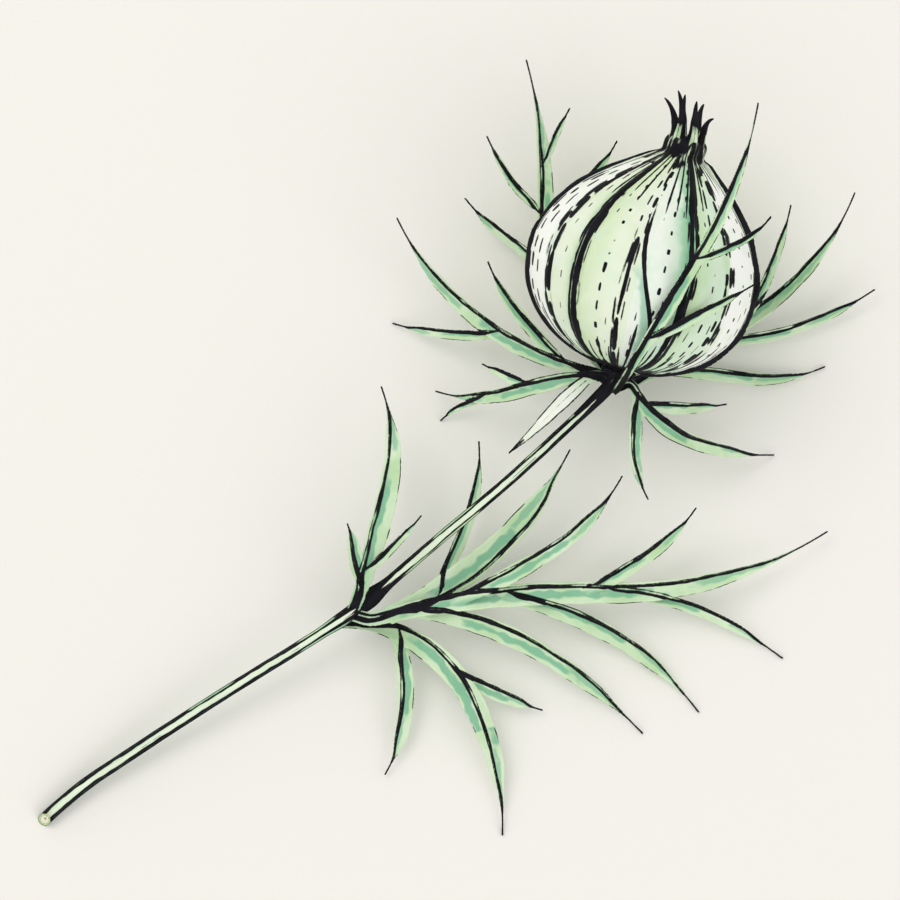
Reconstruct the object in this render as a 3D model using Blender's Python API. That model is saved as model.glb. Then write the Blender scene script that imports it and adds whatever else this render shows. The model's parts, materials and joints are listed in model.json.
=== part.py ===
# Seed pod of love-in-a-mist (nigella), picked with its own stalk and laid down.
#
# Blender 4.5, metres, +Z up.  +X runs from the cut end of the stalk to the
# crown of styles, and +Y is to the left of that line.  The plant lies on the
# plane z = 0: the capsule, the cut end of the stalk and the tips of several
# leaf threads touch it.  Lengths below are in millimetres and angles in
# degrees; MM turns them into metres where a mesh is made.

import math

import bmesh
import bpy
import numpy as np
from mathutils import Vector

MM = 0.001

# ------------------------------------------------------------ dimensions
STALK_LENGTH = 81.5          # cut end to the foot of the capsule
STALK_RADIUS = 1.0           # at the cut end
STALK_RADIUS_TOP = 0.8       # just under the receptacle
RECEPTACLE_RADIUS = 2.1      # the cushion that the capsule sits on
RECEPTACLE_LENGTH = 1.1
NODE_AT = 0.54               # where the leaves leave the stalk, as a fraction
NODE_SWELL = 0.25            # extra radius of the stalk there

CAPSULE_LENGTH = 25.7        # foot to the neck below the styles
CAPSULE_RADIUS = 12.5        # at its widest
WIDEST_AT = 0.44             # fraction of the length
NECK_RADIUS = 1.95
CAPSULE_HEADING = 26.5       # plan direction of its axis
CAPSULE_PITCH = 8.0          # its tip rises by this
CAPSULE_BOW = 0.4            # it bulges to the left of its axis by this
CARPELS = 6
RIB_PHASE = 4.0              # first rib, from straight up towards the left
RIB_DEPTH = 0.30             # groove along each rib line

CROWN_TURN = 14.0            # the crown leans to the left by this
STYLE_RING = 1.35            # radius of the ring that the styles stand on
STYLE_THICK = 0.72

GAP = 0.3                    # between pieces that touch

THREAD_THICKNESS = 0.62      # thickness of a leaf thread over its width
STEP = 2.4                   # spacing of the rings along a thread


# ------------------------------------------------------------ small tools
def unit(v):
    v = np.asarray(v, float)
    return v / np.linalg.norm(v)


def plan_path(start, length, headings, count):
    """Points on the ground plan: the heading runs evenly through the values."""
    s = np.linspace(0.0, 1.0, count)
    at = [h[0] for h in headings]
    angle = np.radians(np.interp(s, at, [h[1] for h in headings]))
    step = length / (count - 1)
    mid = 0.5 * (angle[1:] + angle[:-1])
    x = start[0] + np.concatenate([[0.0], np.cumsum(np.cos(mid))]) * step
    y = start[1] + np.concatenate([[0.0], np.cumsum(np.sin(mid))]) * step
    return s, x, y


def soften(values, rounds):
    """Round off the corners of a run of values and keep its two ends."""
    v = np.array(values, float)
    for _ in range(rounds):
        v[1:-1] = 0.25 * v[:-2] + 0.5 * v[1:-1] + 0.25 * v[2:]
    return v


def add_object(name, bm, material, smooth_angle=40.0):
    bmesh.ops.recalc_face_normals(bm, faces=bm.faces[:])
    mesh = bpy.data.meshes.new(name)
    bm.to_mesh(mesh)
    bm.free()
    obj = bpy.data.objects.new(name, mesh)
    bpy.context.scene.collection.objects.link(obj)
    if material is not None:
        mesh.materials.append(material)
    mesh.shade_smooth()
    mesh.set_sharp_from_angle(angle=math.radians(smooth_angle))
    return obj


def drop_crumbs(bm):
    """Keep only the largest run of faces that are joined edge to edge."""
    seen, groups = set(), []
    for start in bm.faces:
        if start in seen:
            continue
        group, queue = [], [start]
        seen.add(start)
        while queue:
            face = queue.pop()
            group.append(face)
            for edge in face.edges:
                for other in edge.link_faces:
                    if other not in seen:
                        seen.add(other)
                        queue.append(other)
        groups.append(group)
    groups.sort(key=len)
    for group in groups[:-1]:
        bmesh.ops.delete(bm, geom=group, context='FACES')


def tube(points, half_widths, half_heights, sides, upright=None):
    """A closed tube of oval section along points, as a bmesh."""
    bm = bmesh.new()
    pts = np.asarray(points, float)
    tangent = np.gradient(pts, axis=0)
    rings = []
    for i, p in enumerate(pts):
        t = unit(tangent[i])
        up = np.array([0.0, 0.0, 1.0]) if upright is None else upright[i]
        side = unit(np.cross(up, t))
        over = np.cross(t, side)
        ring = []
        for k in range(sides):
            a = 2.0 * math.pi * (k + 0.5 * (sides % 2)) / sides
            q = (p + side * math.cos(a) * half_widths[i]
                 + over * math.sin(a) * half_heights[i])
            ring.append(bm.verts.new(Vector(q * MM)))
        rings.append(ring)
    for a, b in zip(rings[:-1], rings[1:]):
        for k in range(sides):
            n = (k + 1) % sides
            bm.faces.new((a[k], a[n], b[n], b[k]))
    bm.faces.new(rings[0][::-1])
    bm.faces.new(rings[-1])
    return bm


def principled(name, colour, roughness, subsurface=0.0):
    mat = bpy.data.materials.new(name)
    mat.use_nodes = True
    shader = mat.node_tree.nodes["Principled BSDF"]
    shader.inputs["Base Color"].default_value = (*colour, 1.0)
    shader.inputs["Roughness"].default_value = roughness
    shader.inputs["Metallic"].default_value = 0.0
    shader.inputs["Subsurface Weight"].default_value = subsurface
    return mat


# ------------------------------------------------------------ the capsule
def profile(t):
    """Radius of the capsule at t along its axis, from the foot."""
    top = CAPSULE_LENGTH * WIDEST_AT
    if t < top:
        u = (top - t) / top
        return CAPSULE_RADIUS * math.sqrt(max(0.0, 1.0 - u ** 2.3))
    u = (t - top) / (CAPSULE_LENGTH - top)
    body = CAPSULE_RADIUS * max(0.0, 1.0 - u * u)
    return (body ** 4 + NECK_RADIUS ** 4) ** 0.25


PITCH = math.radians(CAPSULE_PITCH)
TURN = math.radians(CAPSULE_HEADING)
AXIS = np.array([math.cos(TURN) * math.cos(PITCH),
                 math.sin(TURN) * math.cos(PITCH), math.sin(PITCH)])
LEFT = np.array([-math.sin(TURN), math.cos(TURN), 0.0])
OVER = np.cross(AXIS, LEFT)



def centre(foot, t):
    bow = CAPSULE_BOW * math.sin(math.pi * min(1.0, t / CAPSULE_LENGTH))
    return foot + AXIS * t + LEFT * bow


def around(angle):
    """Direction out from the axis: 0 is straight up, 90 is left."""
    a = math.radians(angle)
    return OVER * math.cos(a) + LEFT * math.sin(a)


def capsule_rings(foot):
    """Rings of points from the foot to the neck, two ribs to a carpel."""
    stations = [0.0, 0.25, 0.8, 1.7, 3.0, 4.8, 7.0, 9.4, 11.8, 14.2, 16.4,
                18.3, 19.9, 21.3, 22.6, 23.7, 24.7, 25.6, 26.4]
    per_ring = CARPELS * 2 * 4
    rings = []
    for t in stations:
        tt = min(t, CAPSULE_LENGTH)
        c = AXIS * (t - tt) + centre(foot, tt)
        r = max(profile(tt), 2.2)
        ring = []
        for k in range(per_ring):
            angle = RIB_PHASE + 360.0 * k / per_ring
            rib = 0.5 + 0.5 * math.cos(math.radians(
                (angle - RIB_PHASE) * CARPELS * 2))
            depth = RIB_DEPTH * (r / CAPSULE_RADIUS) * rib
            ring.append(c + around(angle) * (r - depth))
        rings.append(ring)
    return rings


# the foot's height puts the capsule's lowest point on the ground
FOOT_Z = -min(p[2] for ring in capsule_rings(np.zeros(3)) for p in ring)


def capsule_span(foot, x, y, margin):
    """Lowest and highest height over a point of the plan of the capsule
    swollen by margin, or None where the point is clear of it."""
    inner = np.linspace(0.0, CAPSULE_LENGTH, 80)
    radius = np.array([profile(t) for t in inner])
    outer = np.linspace(-margin, CAPSULE_LENGTH + margin, 110)
    reach = margin ** 2 - (outer[:, None] - inner[None, :]) ** 2
    swollen = np.where(reach > 0.0, radius + np.sqrt(np.maximum(reach, 0.0)),
                       0.0).max(1)
    heights = []
    for t, r in zip(outer, swollen):
        c = centre(foot, min(max(t, 0.0), CAPSULE_LENGTH))
        c = c + AXIS * (t - min(max(t, 0.0), CAPSULE_LENGTH))
        off = (x - c[0]) * LEFT[0] + (y - c[1]) * LEFT[1]
        if abs(off) >= r:
            continue
        rise = math.sqrt(r * r - off * off)
        for sign in (-1.0, 1.0):
            p = c + LEFT * off + OVER * sign * rise
            along = abs((p[0] - x) * AXIS[0] + (p[1] - y) * AXIS[1])
            if along < 0.3:
                heights.append(p[2])
    return (min(heights), max(heights)) if heights else (None, None)


def make_capsule(foot, material):
    bm = bmesh.new()
    rings = [[bm.verts.new(Vector(p * MM)) for p in ring]
             for ring in capsule_rings(foot)]
    count = len(rings[0])
    for a, b in zip(rings[:-1], rings[1:]):
        for k in range(count):
            n = (k + 1) % count
            bm.faces.new((a[k], a[n], b[n], b[k]))
    bm.faces.new(rings[0][::-1])
    bm.faces.new(rings[-1])
    return add_object("seed_capsule", bm, material, 60.0)


def make_style(number, foot, angle, length, flare, curl, material):
    """One style: a horn that rises beside its fellows and bends outwards."""
    top = foot + AXIS * (26.4 + GAP)
    out = around(angle)
    root = top + out * STYLE_RING
    count = 8
    points, thick = [], []
    p = root.copy()
    for i in range(count):
        s = i / (count - 1)
        lean = math.radians(flare + (curl - flare) * s * s)
        turn = math.radians(CROWN_TURN) * min(1.0, 0.3 + 1.4 * s)
        rise = AXIS * math.cos(turn) + LEFT * math.sin(turn)
        points.append(p.copy())
        thick.append(0.5 * STYLE_THICK * (1.0 - 0.72 * s ** 1.5))
        p = p + (rise * math.cos(lean) + out * math.sin(lean)) * (
            length / (count - 1))
    bm = tube(points, thick, thick, 6, [np.cross(out, AXIS)] * count)
    return add_object("style_%d" % number, bm, material)


# ------------------------------------------------------------ leaf threads
class Thread:
    """A leaf thread's middle line with its width, from root to tip."""

    def __init__(self, start, length, turns, heights, width, tip, foot,
                 side=0, floor=True):
        count = max(7, int(round(length / STEP)) + 1)
        fine = count * 6
        heads = [(0.0, turns[0]), (0.5, turns[1]), (1.0, turns[2])]
        s, x, y = plan_path(start, length, heads, fine)
        z = np.interp(s, np.linspace(0.0, 1.0, len(heights)), heights)
        z = soften(z, fine)
        w = width + (tip - width) * s ** 1.3
        half = 0.5 * w * THREAD_THICKNESS
        if side:
            # pressed under (-1) or lying over (+1) the capsule
            spans = [capsule_span(foot, x[i], y[i], GAP + 0.1 + 0.36 * w[i])
                     for i in range(fine)]
            for _ in range(3):
                z = soften(z, 4)
                for i, (low, high) in enumerate(spans):
                    if low is None:
                        continue
                    z[i] = max(z[i], high) if side > 0 else min(z[i], low)
        if floor:
            z = np.maximum(z, half)
        self.s, self.width = s, w
        self.points = np.stack([x, y, z], 1)
        self.count = count

    def at(self, s):
        return np.array([np.interp(s, self.s, self.points[:, k])
                         for k in range(3)])

    def width_at(self, s):
        return float(np.interp(s, self.s, self.width))

    def mesh(self):
        run = np.concatenate([[0.0], np.cumsum(np.linalg.norm(
            np.diff(self.points, axis=0), axis=1))])
        count = max(self.count, int(round(run[-1] / STEP)) + 1)
        keep = np.interp(np.linspace(0.0, run[-1], count), run, self.s)
        pts = np.stack([self.at(k) for k in keep])
        w = np.array([self.width_at(k) for k in keep])
        return tube(pts, 0.5 * w, 0.5 * w * THREAD_THICKNESS, 6)


def make_leaf(name, root, trunk, branches, foot, material, width, side=0):
    """A leaf or bract: one rachis and the threads that fork from it.

    trunk and each branch give: length, the plan direction at the root, the
    middle and the tip, and the heights along it.  A branch also says which
    thread it leaves (0 is the rachis) and where along that thread.
    """
    threads = [Thread(root[:2], trunk[0], trunk[1], (root[2],) + trunk[2],
                      width, 0.42, foot, side)]
    for parent, where, length, turns, heights in branches:
        p = threads[parent].at(where)
        w = 0.86 * threads[parent].width_at(where)
        threads.append(Thread(p[:2], length, turns, (p[2],) + heights,
                              w, 0.42, foot, side))
    body = None
    cutters = []
    for k, thread in enumerate(threads):
        bm = thread.mesh()
        if k == 0:
            body = add_object(name, bm, material)
            continue
        fork = add_object("%s_fork_%d" % (name, k), bm, None)
        fork.hide_render = True
        fork.display_type = 'WIRE'
        cutters.append(fork)
        union = body.modifiers.new("fork_%d" % k, 'BOOLEAN')
        union.operation = 'UNION'
        union.solver = 'EXACT'
        union.object = fork
    return body, cutters, threads


# ------------------------------------------------------------ the stalk
def stalk_line():
    heads = [(0.0, -4.0), (0.1, -14.5), (0.4, -17.0), (0.5, -14.0),
             (0.54, -8.0), (0.62, -7.5), (0.72, -9.0), (0.84, -5.5),
             (0.94, -5.0), (0.98, 0.0), (1.0, CAPSULE_HEADING)]
    count = 320
    s, x, y = plan_path((0.0, 0.0), STALK_LENGTH, heads, count)
    z = STALK_RADIUS + (FOOT_Z - STALK_RADIUS) * s ** 1.05
    z[-1] = FOOT_Z
    return s, np.stack([x, y, z], 1)


def stalk_radius(s):
    r = STALK_RADIUS + (STALK_RADIUS_TOP - STALK_RADIUS) * s
    r += NODE_SWELL * math.exp(-((s - NODE_AT) / 0.018) ** 2)
    flare = (s - (1.0 - 2.2 / STALK_LENGTH)) * STALK_LENGTH / 2.2
    if flare > 0.0:
        r += (RECEPTACLE_RADIUS - r) * (3 * flare ** 2 - 2 * flare ** 3)
    return r


def make_stalk(s, line, material):
    keep = list(np.linspace(0.0, NODE_AT - 0.035, 13))
    keep += [NODE_AT - 0.018, NODE_AT, NODE_AT + 0.018]
    keep += list(np.linspace(NODE_AT + 0.04, 0.955, 11))
    keep += [0.968, 0.976, 0.983, 0.989, 0.994, 1.0]
    pts = np.stack([[np.interp(k, s, line[:, a]) for a in range(3)]
                    for k in keep])
    # the receptacle's face stands square to the capsule's axis
    pts[-1] = pts[-2] + AXIS * np.linalg.norm(pts[-1] - pts[-2])
    r = [stalk_radius(k) for k in keep]
    bm = tube(pts, r, r, 10)
    return add_object("stem", bm, material, 50.0), pts[-1]


# ------------------------------------------------------------ the model
def clear_scene():
    for obj in list(bpy.data.objects):
        bpy.data.objects.remove(obj, do_unlink=True)


# Bracts: root angle about the stalk (0 up, 90 left), distance of the root
# behind the capsule's foot, side of the capsule they pass, rachis, forks.
# Each thread: length, (direction at root, middle, tip), (heights along it).
BRACTS = {
    "bract_1": dict(angle=100, back=1.0, side=-1, width=1.6,
                    trunk=(29, (122, 93, 67), (7.5, 6.0, 9.5)),
                    forks=[(0, 0.40, 12, (136, 125, 114), (3.2, 0.3)),
                           (0, 0.12, 14.5, (88, 81, 63), (7.5, 9.0))]),
    "bract_2": dict(angle=52, back=1.0, side=0, width=1.6,
                    trunk=(18.5, (136, 149, 113), (12.0, 7.5, 1.0)),
                    forks=[(0, 0.42, 6, (108, 105, 102), (9.5, 8.0)),
                           (0, 0.68, 6, (146, 154, 178), (2.0, 0.2)),
                           (0, 0.05, 12.5, (170, 178, 172), (13.2, 12.6))]),
    "bract_3": dict(angle=-50, back=1.0, side=0, width=1.6,
                    trunk=(19, (-116, -68, -46), (9.5, 5.5, 0.3)),
                    forks=[(0, 0.13, 9.5, (-61, -47, -38), (7.5, 5.0)),
                           (0, 0.06, 12, (-140, -139, -108), (9.0, 5.0))]),
    "bract_4": dict(angle=-125, back=1.0, side=-1, width=1.6,
                    trunk=(33, (-26, -13, 21), (2.4, 1.4, 4.0, 8.5, 13.0)),
                    forks=[(0, 0.31, 19, (-50, -29, -14), (1.6, 2.0)),
                           (0, 0.42, 14, (9, 21, 31), (8.0, 14.0)),
                           (0, 0.09, 19, (-49, -57, -24), (0.9, 1.5, 0.3))]),
    "bract_5": dict(angle=-8, back=1.7, side=1, width=1.7,
                    trunk=(35, (9, 11, 31), (20.0, 27.0, 28.5, 26.0, 24.0)),
                    forks=[(0, 0.46, 9.7, (-27, -23, 5), (28.0, 28.5)),
                           (0, 0.17, 13.5, (-23, -20, -18), (22.5, 25.0))]),
    "bract_6": dict(angle=165, back=1.0, side=-1, width=1.6,
                    trunk=(37, (91, 40, 57), (2.4, 3.0, 7.0, 10.0, 13.0)),
                    forks=[(0, 0.68, 7, (25, 17, 13), (11.0, 11.5)),
                           (0, 0.54, 11, (101, 75, 66), (5.5, 8.0)),
                           (0, 0.32, 14, (75, 96, 80), (2.4, 3.5)),
                           (0, 0.48, 13, (10, -4, 14), (6.0, 7.0))]),
}

# Leaves of the stalk: the same, about the leaf node.
LEAVES = {
    "leaf_1": dict(angle=-55, width=1.9, at=-0.012,
                   trunk=(52, (-34, -50, -16), (7.0, 5.4, 4.5, 3.5, 1.5)),
                   forks=[(0, 0.46, 15.5, (-21, -14, 8), (6.0, 7.5)),
                          (0, 0.49, 22, (-48, -70, -86), (2.5, 0.25)),
                          (0, 0.17, 24, (-25, -17, 13), (9.0, 11.0)),
                          (0, 0.28, 26, (-59, -78, -102), (2.0, 0.25)),
                          (0, 0.08, 30, (-53, -79, -95), (4.0, 0.25)),
                          (0, 0.03, 28, (-27, -6, 15), (5.4, 4.4, 7.0, 9.0)),
                          (6, 0.20, 18, (10, 22, 46), (3.4, 4.5, 5.5))]),
    "leaf_2": dict(angle=-135, width=1.8, at=-0.03,
                   trunk=(31, (-58, -111, -141), (4.5, 2.5, 0.25)),
                   forks=[(0, 0.12, 16.5, (-121, -141, -169), (2.5, 0.6)),
                          (0, 0.37, 11, (-77, -72, -65), (2.4, 0.8))]),
    "leaf_3": dict(angle=25, width=1.6, at=-0.008,
                   trunk=(24, (22, 29, 62), (8.5, 8.0, 6.0)),
                   forks=[(0, 0.06, 7, (60, 50, 62), (9.0, 10.0)),
                          (0, 0.11, 9, (-5, -3, 4), (10.0, 11.0))]),
}

# Styles: direction out from the axis, length, lean at the root and the tip.
STYLES = [(90, 4.4, 6, 56), (38, 5.2, -4, -14), (-22, 4.9, 0, 22),
          (-86, 3.5, 8, 64), (-150, 4.6, 10, 50), (150, 5.3, 4, 40)]


def main():
    clear_scene()
    green = principled("stalk_green", (0.30, 0.44, 0.16), 0.55, 0.05)
    leaf = principled("leaf_green", (0.25, 0.45, 0.18), 0.55, 0.05)
    husk = principled("capsule_green", (0.70, 0.78, 0.55), 0.50, 0.10)
    dark = principled("style_dark", (0.05, 0.04, 0.06), 0.60)

    s, line = stalk_line()
    stem, top = make_stalk(s, line, green)
    foot = top + AXIS * GAP
    objects = [stem, make_capsule(foot, husk)]
    for k, (angle, length, flare, curl) in enumerate(STYLES):
        objects.append(make_style(k + 1, foot, angle, length, flare, curl,
                                  dark))
    spare = []
    for name, b in BRACTS.items():
        root = top - AXIS * b["back"] + around(b["angle"]) * 2.4
        body, cut, _ = make_leaf(name, root, b["trunk"], b["forks"], foot,
                                 leaf, b["width"], b["side"])
        objects.append(body)
        spare += cut
    for name, b in LEAVES.items():
        where = NODE_AT + b["at"]
        p = np.array([np.interp(where, s, line[:, k]) for k in range(3)])
        q = np.array([np.interp(where + 0.01, s, line[:, k])
                      for k in range(3)])
        t = unit(q - p)
        left = unit(np.cross((0.0, 0.0, 1.0), t))
        up = np.cross(t, left)
        a = math.radians(b["angle"])
        out = up * math.cos(a) + left * math.sin(a)
        root = p + out * (STALK_RADIUS + NODE_SWELL + GAP
                          + 0.5 * b["width"])
        body, cut, _ = make_leaf(name, root, b["trunk"], b["forks"], foot,
                                 leaf, b["width"])
        objects.append(body)
        spare += cut

    # settle the forks into single solids, then drop the spare tubes
    graph = bpy.context.evaluated_depsgraph_get()
    for obj in objects:
        if obj.modifiers:
            done = bpy.data.meshes.new_from_object(obj.evaluated_get(graph))
            obj.modifiers.clear()
            # take out the slivers at the forks, as far as the skin stays whole
            for merge in (0.03, 0.02, 0.01, 0.005, 0.002):
                bm = bmesh.new()
                bm.from_mesh(done)
                bmesh.ops.remove_doubles(bm, verts=bm.verts[:],
                                         dist=merge * MM)
                bmesh.ops.dissolve_degenerate(bm, edges=bm.edges[:],
                                              dist=0.5 * merge * MM)
                drop_crumbs(bm)
                whole = all(len(e.link_faces) == 2 for e in bm.edges)
                if whole:
                    bm.to_mesh(done)
                bm.free()
                if whole:
                    break
            obj.data = done
            done.shade_smooth()
            done.set_sharp_from_angle(angle=math.radians(45.0))
    for obj in spare:
        bpy.data.objects.remove(obj, do_unlink=True)

    # origin: middle of the plan box, on the ground
    low = np.array([1e9] * 3)
    high = -low
    for obj in objects:
        co = np.array([v.co[:] for v in obj.data.vertices])
        low = np.minimum(low, co.min(0))
        high = np.maximum(high, co.max(0))
    shift = Vector((-0.5 * (low[0] + high[0]), -0.5 * (low[1] + high[1]),
                    -low[2]))
    for obj in objects:
        for v in obj.data.vertices:
            v.co += shift
        obj.data.update()


main()
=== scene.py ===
# Looks of the nigella seed pod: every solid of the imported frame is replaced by
# a fine mesh of the same piece, made in place from the same design rules.
import math

import bmesh
import bpy
import numpy as np
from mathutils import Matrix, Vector, kdtree, noise

import json

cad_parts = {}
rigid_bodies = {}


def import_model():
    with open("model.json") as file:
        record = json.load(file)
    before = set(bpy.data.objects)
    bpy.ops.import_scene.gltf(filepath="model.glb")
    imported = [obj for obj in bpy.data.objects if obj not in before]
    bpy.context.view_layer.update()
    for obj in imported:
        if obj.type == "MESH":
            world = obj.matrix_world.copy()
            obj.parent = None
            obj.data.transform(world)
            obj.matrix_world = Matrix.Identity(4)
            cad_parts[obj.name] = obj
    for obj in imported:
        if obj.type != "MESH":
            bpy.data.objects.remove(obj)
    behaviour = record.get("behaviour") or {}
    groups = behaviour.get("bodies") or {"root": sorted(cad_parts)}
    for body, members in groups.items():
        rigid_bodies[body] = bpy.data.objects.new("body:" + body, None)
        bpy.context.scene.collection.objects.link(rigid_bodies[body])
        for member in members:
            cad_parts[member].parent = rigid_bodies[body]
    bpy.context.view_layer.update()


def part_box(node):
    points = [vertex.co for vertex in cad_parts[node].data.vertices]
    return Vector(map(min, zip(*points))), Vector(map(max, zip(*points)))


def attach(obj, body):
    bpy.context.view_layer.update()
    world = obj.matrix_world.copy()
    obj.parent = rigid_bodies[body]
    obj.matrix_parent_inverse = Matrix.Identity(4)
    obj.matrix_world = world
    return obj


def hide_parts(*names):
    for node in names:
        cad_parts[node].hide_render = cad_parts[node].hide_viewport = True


for old in list(bpy.data.objects):
    bpy.data.objects.remove(old, do_unlink=True)

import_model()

MM = 0.001
rng = np.random.default_rng(7)

# ------------------------------------------------------------ design rules
# The same driving dimensions as the solids, in millimetres and degrees.
STALK_LENGTH = 81.5
STALK_RADIUS = 1.0
STALK_RADIUS_TOP = 0.8
RECEPTACLE_RADIUS = 2.1
NODE_AT = 0.54
NODE_SWELL = 0.25
CAPSULE_LENGTH = 25.7
CAPSULE_RADIUS = 12.5
WIDEST_AT = 0.44
NECK_RADIUS = 1.95
CAPSULE_HEADING = 26.5
CAPSULE_PITCH = 8.0
CAPSULE_BOW = 0.4
CARPELS = 6
RIB_PHASE = 4.0
RIB_DEPTH = 0.30
CROWN_TURN = 14.0
STYLE_RING = 1.35
GAP = 0.3
STEP = 2.4

BRACTS = {
    "bract_1": dict(angle=100, back=1.0, side=-1, width=1.6,
                    trunk=(29, (122, 93, 67), (7.5, 6.0, 9.5)),
                    forks=[(0, 0.40, 12, (136, 125, 114), (3.2, 0.3)),
                           (0, 0.12, 14.5, (88, 81, 63), (7.5, 9.0))]),
    "bract_2": dict(angle=52, back=1.0, side=0, width=1.6,
                    trunk=(18.5, (136, 149, 113), (12.0, 7.5, 1.0)),
                    forks=[(0, 0.42, 6, (108, 105, 102), (9.5, 8.0)),
                           (0, 0.68, 6, (146, 154, 178), (2.0, 0.2)),
                           (0, 0.05, 12.5, (170, 178, 172), (13.2, 12.6))]),
    "bract_3": dict(angle=-50, back=1.0, side=0, width=1.6,
                    trunk=(19, (-116, -68, -46), (9.5, 5.5, 0.3)),
                    forks=[(0, 0.13, 9.5, (-61, -47, -38), (7.5, 5.0)),
                           (0, 0.06, 12, (-140, -139, -108), (9.0, 5.0))]),
    "bract_4": dict(angle=-125, back=1.0, side=-1, width=1.6,
                    trunk=(33, (-26, -13, 21), (2.4, 1.4, 4.0, 8.5, 13.0)),
                    forks=[(0, 0.31, 19, (-50, -29, -14), (1.6, 2.0)),
                           (0, 0.42, 14, (9, 21, 31), (8.0, 14.0)),
                           (0, 0.09, 19, (-49, -57, -24), (0.9, 1.5, 0.3))]),
    "bract_5": dict(angle=-8, back=1.7, side=1, width=1.7,
                    trunk=(35, (9, 11, 31), (20.0, 27.0, 28.5, 26.0, 24.0)),
                    forks=[(0, 0.46, 9.7, (-27, -23, 5), (28.0, 28.5)),
                           (0, 0.17, 13.5, (-23, -20, -18), (22.5, 25.0))]),
    "bract_6": dict(angle=165, back=1.0, side=-1, width=1.6,
                    trunk=(37, (91, 40, 57), (2.4, 3.0, 7.0, 10.0, 13.0)),
                    forks=[(0, 0.68, 7, (25, 17, 13), (11.0, 11.5)),
                           (0, 0.54, 11, (101, 75, 66), (5.5, 8.0)),
                           (0, 0.32, 14, (75, 96, 80), (2.4, 3.5)),
                           (0, 0.48, 13, (10, -4, 14), (6.0, 7.0))]),
}
LEAVES = {
    "leaf_1": dict(angle=-55, width=1.9, at=-0.012,
                   trunk=(52, (-34, -50, -16), (7.0, 5.4, 4.5, 3.5, 1.5)),
                   forks=[(0, 0.46, 15.5, (-21, -14, 8), (6.0, 7.5)),
                          (0, 0.49, 22, (-48, -70, -86), (2.5, 0.25)),
                          (0, 0.17, 24, (-25, -17, 13), (9.0, 11.0)),
                          (0, 0.28, 26, (-59, -78, -102), (2.0, 0.25)),
                          (0, 0.08, 30, (-53, -79, -95), (4.0, 0.25)),
                          (0, 0.03, 28, (-27, -6, 15), (5.4, 4.4, 7.0, 9.0)),
                          (6, 0.20, 18, (10, 22, 46), (3.4, 4.5, 5.5))]),
    "leaf_2": dict(angle=-135, width=1.8, at=-0.03,
                   trunk=(31, (-58, -111, -141), (4.5, 2.5, 0.25)),
                   forks=[(0, 0.12, 16.5, (-121, -141, -169), (2.5, 0.6)),
                          (0, 0.37, 11, (-77, -72, -65), (2.4, 0.8))]),
    "leaf_3": dict(angle=25, width=1.6, at=-0.008,
                   trunk=(24, (22, 29, 62), (8.5, 8.0, 6.0)),
                   forks=[(0, 0.06, 7, (60, 50, 62), (9.0, 10.0)),
                          (0, 0.11, 9, (-5, -3, 4), (10.0, 11.0))]),
}
STYLES = [(90, 4.4, 6, 56), (38, 5.2, -4, -14), (-22, 4.9, 0, 22),
          (-86, 3.5, 8, 64), (-150, 4.6, 10, 50), (150, 5.3, 4, 40)]


def unit(v):
    v = np.asarray(v, float)
    return v / np.linalg.norm(v)


def plan_path(start, length, headings, count):
    s = np.linspace(0.0, 1.0, count)
    at = [h[0] for h in headings]
    angle = np.radians(np.interp(s, at, [h[1] for h in headings]))
    step = length / (count - 1)
    mid = 0.5 * (angle[1:] + angle[:-1])
    x = start[0] + np.concatenate([[0.0], np.cumsum(np.cos(mid))]) * step
    y = start[1] + np.concatenate([[0.0], np.cumsum(np.sin(mid))]) * step
    return s, x, y


def soften(values, rounds):
    v = np.array(values, float)
    for _ in range(rounds):
        v[1:-1] = 0.25 * v[:-2] + 0.5 * v[1:-1] + 0.25 * v[2:]
    return v


def profile(t):
    top = CAPSULE_LENGTH * WIDEST_AT
    if t < top:
        u = (top - t) / top
        return CAPSULE_RADIUS * math.sqrt(max(0.0, 1.0 - u ** 2.3))
    u = (t - top) / (CAPSULE_LENGTH - top)
    body = CAPSULE_RADIUS * max(0.0, 1.0 - u * u)
    return (body ** 4 + NECK_RADIUS ** 4) ** 0.25


PITCH = math.radians(CAPSULE_PITCH)
TURN = math.radians(CAPSULE_HEADING)
AXIS = np.array([math.cos(TURN) * math.cos(PITCH),
                 math.sin(TURN) * math.cos(PITCH), math.sin(PITCH)])
LEFT = np.array([-math.sin(TURN), math.cos(TURN), 0.0])
OVER = np.cross(AXIS, LEFT)


def centre(foot, t):
    bow = CAPSULE_BOW * math.sin(math.pi * min(1.0, max(0.0, t) /
                                               CAPSULE_LENGTH))
    return foot + AXIS * t + LEFT * bow


def around(angle):
    a = math.radians(angle)
    return OVER * math.cos(a) + LEFT * math.sin(a)


def plain_rings(foot):
    """The solid capsule's own rings, to find where it stands in the frame."""
    stations = [0.0, 0.25, 0.8, 1.7, 3.0, 4.8, 7.0, 9.4, 11.8, 14.2, 16.4,
                18.3, 19.9, 21.3, 22.6, 23.7, 24.7, 25.6, 26.4]
    per_ring = CARPELS * 2 * 4
    points = []
    for t in stations:
        tt = min(t, CAPSULE_LENGTH)
        c = AXIS * (t - tt) + centre(foot, tt)
        r = max(profile(tt), 2.2)
        for k in range(per_ring):
            angle = RIB_PHASE + 360.0 * k / per_ring
            rib = 0.5 + 0.5 * math.cos(math.radians(
                (angle - RIB_PHASE) * CARPELS * 2))
            depth = RIB_DEPTH * (r / CAPSULE_RADIUS) * rib
            points.append(c + around(angle) * (r - depth))
    return np.array(points)


FOOT_Z = -plain_rings(np.zeros(3))[:, 2].min()


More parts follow.
